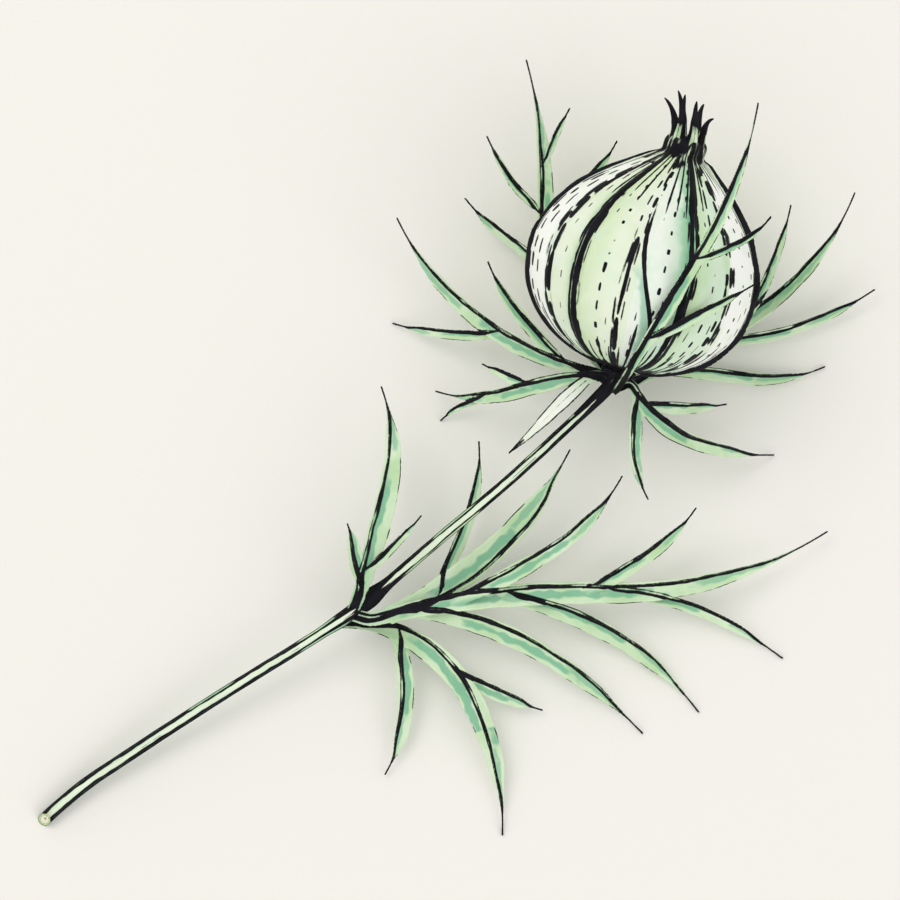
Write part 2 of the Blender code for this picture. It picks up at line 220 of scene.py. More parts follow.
def capsule_span(foot, x, y, margin):
    inner = np.linspace(0.0, CAPSULE_LENGTH, 80)
    radius = np.array([profile(t) for t in inner])
    outer = np.linspace(-margin, CAPSULE_LENGTH + margin, 110)
    reach = margin ** 2 - (outer[:, None] - inner[None, :]) ** 2
    swollen = np.where(reach > 0.0, radius + np.sqrt(np.maximum(reach, 0.0)),
                       0.0).max(1)
    heights = []
    for t, r in zip(outer, swollen):
        c = centre(foot, min(max(t, 0.0), CAPSULE_LENGTH))
        c = c + AXIS * (t - min(max(t, 0.0), CAPSULE_LENGTH))
        off = (x - c[0]) * LEFT[0] + (y - c[1]) * LEFT[1]
        if abs(off) >= r:
            continue
        rise = math.sqrt(r * r - off * off)
        for sign in (-1.0, 1.0):
            p = c + LEFT * off + OVER * sign * rise
            along = abs((p[0] - x) * AXIS[0] + (p[1] - y) * AXIS[1])
            if along < 0.3:
                heights.append(p[2])
    return (min(heights), max(heights)) if heights else (None, None)


class Thread:
    """The middle line of one leaf thread, as the solids have it."""

    def __init__(self, start, length, turns, heights, width, foot, side):
        count = max(7, int(round(length / STEP)) + 1)
        fine = count * 6
        heads = [(0.0, turns[0]), (0.5, turns[1]), (1.0, turns[2])]
        s, x, y = plan_path(start, length, heads, fine)
        z = np.interp(s, np.linspace(0.0, 1.0, len(heights)), heights)
        z = soften(z, fine)
        w = width + (0.42 - width) * s ** 1.3
        half = 0.5 * w * 0.62
        if side:
            spans = [capsule_span(foot, x[i], y[i], GAP + 0.1 + 0.36 * w[i])
                     for i in range(fine)]
            for _ in range(3):
                z = soften(z, 4)
                for i, (low, high) in enumerate(spans):
                    if low is None:
                        continue
                    z[i] = max(z[i], high) if side > 0 else min(z[i], low)
        z = np.maximum(z, half)
        self.s, self.width, self.root_width = s, w, width
        self.points = np.stack([x, y, z], 1)

    def at(self, s):
        return np.array([np.interp(s, self.s, self.points[:, k])
                         for k in range(3)])

    def width_at(self, s):
        return float(np.interp(s, self.s, self.width))


def make_threads(root, trunk, branches, foot, width, side):
    threads = [Thread(root[:2], trunk[0], trunk[1], (root[2],) + trunk[2],
                      width, foot, side)]
    for parent, where, length, turns, heights in branches:
        p = threads[parent].at(where)
        w = 0.86 * threads[parent].width_at(where)
        threads.append(Thread(p[:2], length, turns, (p[2],) + heights, w,
                              foot, side))
    return threads


def stalk_line():
    heads = [(0.0, -4.0), (0.1, -14.5), (0.4, -17.0), (0.5, -14.0),
             (0.54, -8.0), (0.62, -7.5), (0.72, -9.0), (0.84, -5.5),
             (0.94, -5.0), (0.98, 0.0), (1.0, CAPSULE_HEADING)]
    s, x, y = plan_path((0.0, 0.0), STALK_LENGTH, heads, 320)
    z = STALK_RADIUS + (FOOT_Z - STALK_RADIUS) * s ** 1.05
    z[-1] = FOOT_Z
    return s, np.stack([x, y, z], 1)


STALK_S, STALK = stalk_line()


def stalk_at(s):
    return np.array([np.interp(s, STALK_S, STALK[:, k]) for k in range(3)])


_p = stalk_at(0.994)
TOP = _p + AXIS * np.linalg.norm(stalk_at(1.0) - _p)
FOOT = TOP + AXIS * GAP

# where the design stands in the row's frame
_low, _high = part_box("seed_capsule")
SHIFT = np.array(_low) / MM - plain_rings(FOOT).min(0)


# ------------------------------------------------------------ colour helpers
def srgb(code):
    code = code.lstrip("#")
    out = []
    for k in (0, 2, 4):
        c = int(code[k:k + 2], 16) / 255.0
        out.append(c / 12.92 if c <= 0.04045 else ((c + 0.055) / 1.055) ** 2.4)
    return np.array(out)


INK = srgb("#0b0a0f")
CREAM = srgb("#f2f3e4")
WHITE = srgb("#f4f6ef")
MINT = srgb("#d3ead8")
LIGHT = srgb("#cfe3ae")
SPRING = srgb("#b4d489")
JADE = srgb("#9bcda6")
TEAL = srgb("#6bb094")
LEAFY = srgb("#c2dda8")


def wave(x, y=0.0, z=0.0):
    return noise.noise(Vector((float(x), float(y), float(z))))


def wave_grid(points, scale, offset=0.0):
    return np.array([noise.noise(Vector((p[0] * scale + offset,
                                         p[1] * scale - offset,
                                         p[2] * scale + 2.0 * offset)))
                     for p in points])


def smooth(lo, hi, v):
    u = np.clip((np.asarray(v, float) - lo) / (hi - lo), 0.0, 1.0)
    return u * u * (3.0 - 2.0 * u)


def mix(a, b, f):
    f = np.asarray(f, float)
    if f.ndim:
        f = f[..., None]
    return a * (1.0 - f) + b * f


# ------------------------------------------------------------ materials
def new_material(name):
    mat = bpy.data.materials.new(name)
    mat.use_nodes = True
    return mat, mat.node_tree.nodes, mat.node_tree.links


def attribute(nodes, name):
    node = nodes.new("ShaderNodeAttribute")
    node.attribute_name = name
    return node


def math_node(nodes, links, op, a, b=None, c=None, clamp=False):
    node = nodes.new("ShaderNodeMath")
    node.operation = op
    node.use_clamp = clamp
    for k, v in enumerate((a, b, c)):
        if v is None:
            continue
        if isinstance(v, (int, float)):
            node.inputs[k].default_value = v
        else:
            links.new(v, node.inputs[k])
    return node.outputs[0]


def ramp01(nodes, links, value, lo, hi):
    node = nodes.new("ShaderNodeMapRange")
    node.interpolation_type = 'SMOOTHSTEP'
    node.inputs["From Min"].default_value = lo
    node.inputs["From Max"].default_value = hi
    links.new(value, node.inputs["Value"])
    return node.outputs["Result"]


def noise_node(nodes, links, scale, detail=3.0, rough=0.55, vector=None):
    node = nodes.new("ShaderNodeTexNoise")
    node.inputs["Scale"].default_value = scale
    node.inputs["Detail"].default_value = detail
    node.inputs["Roughness"].default_value = rough
    if vector is not None:
        links.new(vector, node.inputs["Vector"])
    return node.outputs["Fac"]


def mix_colour(nodes, links, fac, a, b, blend='MIX'):
    node = nodes.new("ShaderNodeMix")
    node.data_type = 'RGBA'
    node.blend_type = blend
    for sock, v in ((node.inputs[0], fac), (node.inputs[6], a),
                    (node.inputs[7], b)):
        if isinstance(v, (int, float)):
            sock.default_value = v
        elif isinstance(v, np.ndarray):
            sock.default_value = (*v, 1.0)
        else:
            links.new(v, sock)
    return node.outputs[2]


def plant_material(name, rough=0.5, subsurface=0.12, radius=0.0012,
                   grain=900.0, grain_depth=0.00004, ink_soft=(-0.03, 0.05),
                   mottling=0.18, ink_rough=0.60, sheen=0.0, specular=0.10):
    """Tint from the mesh, dark lines where 'ink' is positive, fine grain."""
    mat, nodes, links = new_material(name)
    shader = nodes["Principled BSDF"]
    coords = nodes.new("ShaderNodeTexCoord").outputs["Object"]
    tint = attribute(nodes, "tint").outputs["Color"]
    ink = attribute(nodes, "ink").outputs["Fac"]
    fine = noise_node(nodes, links, grain, 4.0, 0.6, coords)
    broad = noise_node(nodes, links, grain * 0.22, 3.0, 0.5, coords)
    # mottling of the skin
    dark = mix_colour(nodes, links, 1.0, tint, np.array([0.78, 0.84, 0.72]),
                      'MULTIPLY')
    fac = math_node(nodes, links, 'MULTIPLY',
                    ramp01(nodes, links, broad, 0.42, 0.68), mottling * 2.2)
    body = mix_colour(nodes, links, fac, tint, dark)
    pale = mix_colour(nodes, links, 1.0, tint, np.array([0.10, 0.11, 0.08]),
                      'ADD')
    fac = math_node(nodes, links, 'MULTIPLY',
                    ramp01(nodes, links, fine, 0.52, 0.75), mottling * 1.6)
    body = mix_colour(nodes, links, fac, body, pale)
    # dark lines with a slightly broken edge
    edge = math_node(nodes, links, 'MULTIPLY_ADD', fine, 0.10, -0.05)
    lines = math_node(nodes, links, 'ADD', ink, edge)
    mask = ramp01(nodes, links, lines, ink_soft[0], ink_soft[1])
    ink_tone = mix_colour(nodes, links, ramp01(nodes, links, broad, 0.3, 0.7),
                          INK, srgb("#1b1920"))
    colour = mix_colour(nodes, links, mask, body, ink_tone)
    links.new(colour, shader.inputs["Base Color"])
    rough_mix = math_node(nodes, links, 'MULTIPLY_ADD', mask,
                          ink_rough - rough, rough)
    rough_mix = math_node(nodes, links, 'MULTIPLY_ADD', fine, 0.16,
                          math_node(nodes, links, 'ADD', rough_mix, -0.08))
    links.new(rough_mix, shader.inputs["Roughness"])
    bump = nodes.new("ShaderNodeBump")
    bump.inputs["Strength"].default_value = 0.6
    bump.inputs["Distance"].default_value = grain_depth
    links.new(math_node(nodes, links, 'MULTIPLY_ADD', fine, 0.6,
                        math_node(nodes, links, 'MULTIPLY', broad, 0.8)),
              bump.inputs["Height"])
    links.new(bump.outputs["Normal"], shader.inputs["Normal"])
    shader.inputs["Subsurface Weight"].default_value = subsurface
    shader.inputs["Subsurface Radius"].default_value = (1.0, 1.0, 0.6)
    shader.inputs["Subsurface Scale"].default_value = radius
    shader.inputs["Specular IOR Level"].default_value = specular
    if sheen:
        shader.inputs["Sheen Weight"].default_value = sheen
        shader.inputs["Sheen Roughness"].default_value = 0.4
    return mat


# ------------------------------------------------------------ mesh helpers
def to_row(points):
    return (np.asarray(points) + SHIFT) * MM


def object_from(name, verts, faces, mat, tint=None, ink=None, sharp=None):
    mesh = bpy.data.meshes.new(name)
    mesh.from_pydata([tuple(v) for v in verts], [], faces)
    mesh.update()
    if tint is not None:
        set_tint(mesh, tint)
    if ink is not None:
        set_float(mesh, "ink", ink)
    mesh.materials.append(mat)
    mesh.shade_smooth()
    if sharp:
        mesh.set_sharp_from_angle(angle=math.radians(sharp))
    obj = bpy.data.objects.new(name, mesh)
    bpy.context.scene.collection.objects.link(obj)
    return obj


def set_float(mesh, name, values):
    a = mesh.attributes.get(name) or mesh.attributes.new(name, 'FLOAT',
                                                         'POINT')
    a.data.foreach_set("value", np.asarray(values, np.float32))


def set_tint(mesh, colours):
    a = mesh.attributes.get("tint") or mesh.attributes.new(
        "tint", 'FLOAT_COLOR', 'POINT')
    rgba = np.ones((len(colours), 4), np.float32)
    rgba[:, :3] = np.clip(colours, 0.0, 1.0)
    a.data.foreach_set("color", rgba.ravel())


def grid_faces(rows, cols, wrap=True):
    faces = []
    last = cols if wrap else cols - 1
    for r in range(rows - 1):
        a, b = r * cols, (r + 1) * cols
        for c in range(last):
            n = (c + 1) % cols
            faces.append((a + c, a + n, b + n, b + c))
    return faces


# ------------------------------------------------------------ the capsule
# Where the twelve ribs run, in degrees from the top towards the left. The odd
# ones are sutures between carpels, raised as cords; the even ones are the
# midribs of the carpels.
RIBS = [2, 35, 56, 92, 124, 154, 184, 214, 244, 270, 309, 335]
PANELS = len(RIBS)

# wash of each panel: at its rib, at its far rib. The near-white washes of panels 2 and
# 9, at the capsule's left and right edges as seen from above, are painted rim light
PANEL_WASH = [
    ("#e6efd8", "#d8e8c4"), ("#dce9cb", "#e9f1de"), ("#f6f8f1", "#f2f6ec"),
    ("#e4efdc", "#d2e6c4"), ("#d2e6c4", "#eef3e2"), ("#eef3e2", "#cfe5c8"),
    ("#d9eacb", "#eef3e2"), ("#eef3e2", "#d2e6c4"), ("#cfe5cf", "#e4efdc"),
    ("#f3f6ee", "#f7f8f2"), ("#d9ecd6", "#cfe6c2"), ("#d6ebd6", "#eef4e8"),
]

# green shades beside ribs: rib, side, reach, strength, from, to, colour
PANEL_SHADES = [
    (0, 1, 1.2, 0.35, 14.0, 23.0, WHITE),
    (11, 1, 1.7, 0.95, 8.0, 24.0, JADE), (11, 1, 0.7, 0.60, 9.0, 21.0, TEAL),
    (11, -1, 1.6, 0.34, 6.0, 22.0, LEAFY),
    (10, 1, 1.2, 0.42, 9.0, 17.0, LEAFY), (10, -1, 1.2, 0.40, 1.0, 8.0,
                                            LEAFY),
    (9, 1, 1.2, 0.30, 2.0, 20.0, MINT), (9, 1, 0.7, 0.25, 1.0, 22.0, JADE),
    (1, -1, 1.2, 0.34, 3.0, 22.0, LEAFY), (1, 1, 0.9, 0.40, 3.0, 20.0, JADE),
    (2, -1, 0.9, 0.30, 3.0, 20.0, LEAFY), (2, 1, 0.8, 0.30, 2.0, 18.0, JADE),
    (3, -1, 0.8, 0.30, 2.0, 20.0, JADE), (3, 1, 1.4, 0.50, 2.0, 22.0, JADE),
    (4, 1, 1.2, 0.50, 2.0, 20.0, SPRING), (5, -1, 1.3, 0.55, 2.0, 22.0, JADE),
    (5, 1, 1.0, 0.45, 2.0, 20.0, SPRING), (6, 1, 1.2, 0.50, 2.0, 22.0, JADE),
    (7, -1, 1.0, 0.45, 2.0, 20.0, JADE), (7, 1, 1.4, 0.55, 3.0, 22.0, SPRING),
    (8, -1, 1.2, 0.50, 2.0, 20.0, JADE), (9, -1, 1.3, 0.45, 2.0, 22.0, JADE),
]

# drawn lines: angle, half width, kind, period, share inked, from, to
STROKES = [
    # the left cheek, up to the rib at its edge
    (1, 0.66, "edge", 0, 0, -1, 30), (80, 0.30, "dash", 3.6, 0.76, 3, 22),
    (73, 0.26, "dash", 2.4, 0.66, 3, 21),
    (66, 0.13, "dash", 2.8, 0.60, 2, 23), (60, 0.08, "dash", 4.1, 0.66, 9, 24),
    (57.6, 0.25, "dash", 3.2, 0.84, 1, 26),
    (54.4, 0.28, "dash", 4.3, 0.84, 1, 26), (52.5, 0.07, "dash", 3.6, 0.5, 2,
                                           24),
    (47, 0.08, "dash", 2.6, 0.42, 15, 25), (44, 0.06, "dash", 2.9, 0.3, 4,
                                            14),
    (38.4, 0.08, "dash", 4.6, 0.62, 8, 24), (37, 0.20, "solid", 0, 0, -1, 27),
    (34, 0.25, "solid", 0, 0, -1, 30),
    (31.5, 0.08, "dash", 4.2, 0.72, 3, 20), (26, 0.06, "dash", 2.2, 0.3, 16,
                                             23),
    # the front panel
    (19, 0.14, "dash", 2.5, 0.58, 0, 13), (19, 0.12, "dash", 1.9, 0.30, 13,
                                           24),
    (13.5, 0.06, "dash", 2.8, 0.4, 1, 9), (9.8, 0.10, "dash", 5.2, 0.86, 1,
                                           17),
    (7.4, 0.20, "dash", 6.3, 0.88, 0, 16), (5.2, 0.07, "dash", 3.8, 0.7, 5,
                                            19),
    (10, 0.09, "dash", 2.6, 0.62, 17, 26), (6, 0.13, "dash", 3.2, 0.74, 18,
                                            26),
    ((-14, 3.5), 0.20, "solid", 0, 0, -1, 19.6), ((-14, 4), 0.12, "dash", 2.2,
                                                0.6, 20.4, 30),
    (-2, 0.07, "dash", 3.1, 0.5, 2, 8), (-4, 0.08, "dash", 2.2, 0.5, 18, 25),
    (-10.5, 0.13, "dash", 2.3, 0.36, 3, 21), (-13.5, 0.11, "dash", 3.0, 0.4,
                                              4, 11),
    (-17, 0.07, "dash", 2.0, 0.5, 18, 25), (-21.4, 0.08, "dash", 4.4, 0.6, 10,
                                            24),
    # the right cheek
    (-23.6, 0.19, "solid", 0, 0, -1, 27),
    (-26.6, 0.24, "solid", 0, 0, -1, 30), (-28.8, 0.09, "dash", 4.0, 0.72, 6,
                                         24),
    (-33, 0.08, "dash", 2.7, 0.6, 0, 9), (-34, 0.08, "dash", 1.7, 0.35, 13,
                                          22),
    (-39, 0.11, "dash", 2.2, 0.5, 2, 14), (-38, 0.12, "dash", 3.4, 0.7, 16,
                                           25),
    (-45, 0.08, "dash", 3.1, 0.6, 1, 10), (-49.2, 0.20, "dash", 2.7, 0.76, 2, 24),
    (-52.4, 0.26, "dash", 3.6, 0.80, 1,
                                           26),
    (-54.8, 0.08, "dash", 3.7, 0.55, 4, 22), (-62, 0.13, "dash", 1.9, 0.34, 4,
                                              21),
    (-68, 0.08, "dash", 3.0, 0.55, 1, 10), (-73, 0.14, "dash", 2.2, 0.42, 3,
                                            20),
    (-80, 0.30, "dash", 4.0, 0.76, 2, 23), (-1, 0.66, "edge", 0, 0, -1, 30),
    # the underside
    (108, 0.12, "dash", 2.3, 0.5, 2, 22), (101, 0.07, "dash", 3.6, 0.6, 3, 22),
    (124, 0.22, "dash", 3.2, 0.76, 1, 26), (139, 0.13, "dash", 2.1, 0.40, 3,
                                            21),
    (131, 0.07, "dash", 3.3, 0.5, 2, 22), (154, 0.27, "solid", 0, 0, -1, 30),
    (150, 0.08, "dash", 4.2, 0.7, 4, 22), (169, 0.13, "dash", 2.5, 0.46, 3,
                                           21),
    (184, 0.21, "dash", 3.4, 0.8, 1, 26), (199, 0.13, "dash", 2.2, 0.38, 3,
                                           21),
    (192, 0.07, "dash", 3.1, 0.5, 2, 22), (214, 0.27, "solid", 0, 0, -1, 30),
    (218, 0.08, "dash", 4.0, 0.7, 4, 22), (229, 0.13, "dash", 2.4, 0.44, 3,
                                           21),
    (244, 0.22, "dash", 3.0, 0.78, 1, 26), (257, 0.12, "dash", 2.0, 0.42, 3,
                                            21),
    (251, 0.07, "dash", 3.3, 0.5, 2, 22),
]


def chance(a, b):
    """A repeatable number between 0 and 1."""
    v = math.sin(a * 127.1 + b * 311.7 + 1.7) * 43758.5453
    return v - math.floor(v)


def dash(m, period, share, seed):
    """How full a broken line is at m millimetres along it."""
    best = 0.0
    first = math.floor(m / period)
    for i in (first - 1, first):
        start = (i + 0.34 * chance(i, seed)) * period
        length = share * period * (0.7 + 0.6 * chance(i, seed + 5.0))
        x = (m - start) / length
        if 0.0 < x < 1.0:
            weight = 0.75 + 0.45 * chance(i, seed + 9.0)
            best = max(best, weight * (1.0 - (2.0 * x - 1.0) ** 4) ** 0.5)
    return best


def husk_radius(t):
    """The capsule's radius before ribs and bulges."""
    if t <= 0.0:
        return 1.7
    r = max(profile(min(t, CAPSULE_LENGTH)), 1.7 + 0.3 * min(t, 1.0))
    if t > 24.0:
        r = r + (2.15 - r) * float(smooth(24.0, 25.6, t))
    if t > 25.7:
        r = 0.95 + (r - 0.95) * math.sqrt(max(0.0, 1.0 - (
            (t - 25.7) / 1.15) ** 2))
    return r


def husk_line(t):
    tt = min(max(t, 0.0), CAPSULE_LENGTH)
    return centre(FOOT, tt) + AXIS * (t - tt) - LEFT * (
        0.6 * float(smooth(18.0, 25.5, t)))


def flip_out(obj):
    bm = bmesh.new()
    bm.from_mesh(obj.data)
    bmesh.ops.recalc_face_normals(bm, faces=bm.faces[:])
    if bm.calc_volume(signed=True) < 0:
        bmesh.ops.reverse_faces(bm, faces=bm.faces[:])
    bm.to_mesh(obj.data)
    bm.free()
    obj.data.shade_smooth()


def build_capsule():
    per_panel = 40
    cols = PANELS * per_panel
    fine_t = np.concatenate([np.linspace(-0.35, 0.0, 8)[:-1],
                             np.linspace(0.0, 1.0, 400) ** 2 * 3.0,
                             np.linspace(3.0, 26.82, 900)[1:]])
    fine_r = np.array([husk_radius(t) for t in fine_t])
    run = np.concatenate([[0.0], np.cumsum(np.hypot(np.diff(fine_t),
                                                    np.diff(fine_r)))])
    rows = int(run[-1] / 0.19)
    t_row = np.interp(np.linspace(0.0, run[-1], rows), run, fine_t)
    m_row = np.linspace(0.0, run[-1], rows)
    span = np.array([(RIBS[(k + 1) % PANELS] - RIBS[k]) % 360
                     for k in range(PANELS)], float)
    panel = np.arange(cols) // per_panel
    frac = (np.arange(cols) % per_panel) / per_panel
    ang = np.array(RIBS, float)[panel] + frac * span[panel]
    dirs = np.array([around(a) for a in ang])
    turns = np.array([around(a + 90.0) for a in ang])
    near = np.where(frac < 0.5, panel, panel + 1) % PANELS
    suture = near % 2 == 1
    edge_frac = np.minimum(frac, 1.0 - frac)
    first = np.array([srgb(a) for a, _ in PANEL_WASH])[panel]
    last = np.array([srgb(b) for _, b in PANEL_WASH])[panel]
    verts, ink, tint = [], [], []
    for t, m in zip(t_row, m_row):
        u = min(1.0, max(0.0, t / CAPSULE_LENGTH))
        r = husk_radius(t)
        arc = np.radians(span[panel]) * r
        d_rib = edge_frac * arc
        d_mid = np.abs(frac - 0.5) * arc
        swell = math.sin(math.pi * u) ** 0.6
        wide = np.minimum(1.0, span[panel] / 33.0)
        pillow = 1.0 - (2.0 * np.abs(frac - 0.5)) ** 2.6
        out = swell * (0.42 * wide * pillow - 0.20)
        tall = np.where((near == 3) | (near == 9), 0.13, 0.42)
        out = out + np.where(suture, tall, 0.13) * (0.25 + 0.75 * swell) * (
            np.exp(-(d_rib / np.where(suture, 0.30, 0.24)) ** 2)) * min(
                1.0, r / 4.0)
        out = out - 0.10 * swell * np.exp(-((d_rib - 0.62) / 0.25) ** 2)
        # the two side sutures are the strongest cords; they wander to where
        # the husk turns over near its foot and neck
        t_near = min(max(t, 0.6), 25.0)
        slope = (husk_radius(t_near + 0.2) - husk_radius(t_near - 0.2)) / 0.4
        run_on = (husk_line(t_near + 0.2) - husk_line(t_near - 0.2)) / 0.4
        facing = np.cross(run_on + dirs * slope, turns)[:, 2]
        facing = facing * np.sign(facing[0])
        verge = {}
        cord = np.zeros(cols)
        skin = (dirs - AXIS * slope) / math.sqrt(1.0 + slope * slope)
        for sign in (-1.0, 1.0):
            half_turn = (sign * ang) % 360.0
            seen = (half_turn < 150.0) & (facing > 0.0)
            verge[sign] = float(half_turn[seen].max()) - (
                3.0 if sign > 0.0 else 1.0)
            off = (ang - sign * verge[sign] + 180.0) % 360.0 - 180.0
            off = np.abs(off) * math.pi / 180.0 * r
            proud = 0.50 if sign > 0.0 else 0.72
            cord = cord + proud * (0.50 + 0.50 * swell) * np.exp(
                -(off / 0.36) ** 2) * min(1.0, max(0.0, (r - 1.7) / 1.6)) * (
                1.0 + 0.25 * wave(m * 0.3, sign, 5.0))
        if t > 21.5:
            lobe = np.cos(np.radians((ang - 30.0) * CARPELS))
            out = out + float(smooth(21.5, 25.0, t)) * 0.17 * lobe * min(
                1.0, r / 1.7)
        base = husk_line(t)
        pos = base + dirs * r
        low = np.array([noise.noise(Vector(p * 0.16)) for p in pos])
        mid_n = np.array([noise.noise(Vector(p * 0.5)) for p in pos])
        fine_n = np.array([noise.noise(Vector(p * 1.5)) for p in pos])
        crimp = np.array([noise.noise(Vector((a * 0.22, m * 0.9, 3.3)))
                          for a in ang])
        out = out - 0.24 * swell * np.maximum(0.0, -np.cos(
            np.radians(ang))) ** 4
        out = out + swell * (0.15 * low + 0.07 * mid_n + 0.030 * crimp
                             + 0.018 * fine_n)
        ring = base + dirs * (r + out)[:, None] + skin * cord[:, None]
        ring[:, 2] = np.maximum(ring[:, 2], 0.03 - SHIFT[2])
        verts.append(ring)

        # ---- dark lines: half width minus distance, in mm
        gather = float(smooth(22.0, 25.2, t)) + 0.8 * (1.0 - float(smooth(
            0.3, 2.6, t)))
        w = np.full(cols, -0.5)
        for n, (a, half, kind, period, share, t0, t1) in enumerate(STROKES):
            if not t0 <= t <= t1:
                continue
            if kind == "edge":
                a = a * verge[float(a)]
            elif isinstance(a, tuple):
                a = a[0] + (a[1] - a[0]) * float(smooth(3.0, 17.0, t))
            full = 1.0 if kind in ("solid", "edge") else dash(m, period, share, n * 1.3)
            if full <= 0.0:
                continue
            press = 1.0 + 0.22 * wave(m * 0.32, n * 3.7, 1.0) + 0.16 * wave(
                m * 1.1, n * 5.1, 4.0)
            h = 1.32 * half * press * full
            if kind == "solid" and t1 < 25.0:
                h = h * min(1.0, 0.15 + (t1 - t) / 4.0)
            if kind == "dash":
                h = h * min(1.0, (t - t0) / 0.7 + 0.3, (t1 - t) / 0.7 + 0.3)
            h = min(h * (1.0 + 0.35 * gather), 0.040 * r + 0.085 + (
                0.022 * r + 0.02 if kind == "edge" else 0.0))
            if half < 0.10:
                h = min(h, 0.014 * r + 0.03)
            shift = 0.9 * wave(m * 0.16, n * 2.3, 14.0) * min(1.0, r / 8.0)
            d = np.abs((ang - a - shift * (half < 0.25) + 180.0) % 360.0
                       - 180.0) * math.pi / 180.0 * r
            w = np.maximum(w, h - d)
        # fine nerves gather at the foot and below the neck
        for gap, reach in ((7.5, 5.6), (7.5, 0.0)):
            if reach and t < reach + 1.5 * chance(1, 2) or (
                    not reach and t > 18.6):
                for k in range(48):
                    a = 3.5 + gap * k
                    bound = (reach * (0.45 + 0.75 * chance(k, 3.0)) if reach
                             else 25.7 - 6.6 * (0.25 + 0.8 * chance(k, 6.0)))
                    if (reach and t > bound) or (not reach and t < bound):
                        continue
                    h = 0.012 * r + 0.052 + 0.02 * wave(m, k, 8.0)
                    h *= min(1.0, 0.35 + 0.5 * abs(t - bound))
                    d = np.abs((ang - a + 180.0) % 360.0 - 180.0) * (
                        math.pi / 180.0 * r)
                    w = np.maximum(w, h - d)
        if t < 1.6:
            w = np.maximum(w, (0.85 - t) * 0.35 + 0.15 * mid_n)
        if t > 23.2:
            patch = 0.30 * np.array([noise.noise(Vector((
                a * 0.055, m * 0.55, 9.0))) for a in ang])
            w = np.maximum(w, patch - 0.055 + 0.10 * float(
                smooth(23.5, 25.3, t)))
        ink.append(w)

        # ---- washes of colour
        f = smooth(0.15, 0.85, frac + 0.30 * mid_n + 0.25 * low)
        col = mix(first, last, f)
        pool = smooth(0.05, 0.45, mid_n + 0.4 * low + 0.15 * fine_n)
        col = mix(col, MINT, 0.28 * pool)
        for rib, side, reach, strength, t0, t1, colour in PANEL_SHADES:
            if not t0 - 2.0 < t < t1 + 2.0:
                continue
            if side > 0:
                d = np.where(panel == rib, frac * arc, 99.0)
            else:
                d = np.where(panel == (rib - 1) % PANELS,
                             (1.0 - frac) * arc, 99.0)
            reach = reach * (1.0 + 0.45 * wave(m * 0.22, rib * 3.0, side))
            g = strength * (1.0 - smooth(0.55 * reach, 1.25 * reach,
                                         d + 0.5 * mid_n + 0.25 * fine_n))
            g = g * float(smooth(t0 - 1.5, t0 + 1.5, t)) * (
                1.0 - float(smooth(t1 - 1.5, t1 + 1.5, t)))
            col = mix(col, colour, np.clip(g, 0.0, 1.0))
        # a blue green shade on the left of the front rib, low down
        front = -14.0 + 17.5 * float(smooth(3.0, 17.0, t))
        off = ((ang - front + 180.0) % 360.0 - 180.0) * math.pi / 180.0 * r
        g = (1.0 - smooth(0.9, 1.5, off + 0.7 * mid_n + 0.3 * fine_n)) * (
            off > 0.0) * float(smooth(0.5, 3.0, t)) * (
                1.0 - float(smooth(11.0, 13.5, t)))
        col = mix(col, srgb("#92c4a8"), 0.78 * np.clip(g, 0.0, 1.0))
        # a band of light left along the crest of each bulge
        glow = np.exp(-((frac - 0.46 - 0.05 * low) / 0.16) ** 2)
        col = mix(col, srgb("#fbfbf4"), 0.16 * swell * glow)
        col = mix(col, JADE, 0.60 * (1.0 - float(smooth(-0.4, 3.0, t))))
        col = mix(col, srgb("#b9d59a"), 0.45 * float(smooth(21.5, 24.8, t)))
        col = mix(col, srgb("#6f8f62"), 0.55 * float(smooth(25.4, 26.8, t)))
        tint.append(col)

    verts = np.concatenate(verts)
    ink = np.concatenate(ink)
    tint = np.concatenate(tint)
    faces = grid_faces(rows, cols)
    n = len(verts)
    verts = np.concatenate([verts, [husk_line(t_row[0]),
                                    husk_line(t_row[-1]) + AXIS * 0.03]])
    ink = np.concatenate([ink, [0.2, -0.3]])
    tint = np.concatenate([tint, [JADE, srgb("#4a5a3e")]])
    for c in range(cols):
        d = (c + 1) % cols
        faces.append((n, d, c))
        faces.append((n + 1, (rows - 1) * cols + c, (rows - 1) * cols + d))
    mat = plant_material("capsule_husk", rough=0.50, subsurface=0.16,
                         radius=0.0012, grain=1500.0, grain_depth=0.00006,
                         mottling=0.10)
    obj = object_from("capsule_husk", to_row(verts), faces, mat, tint, ink)
    flip_out(obj)
    return obj


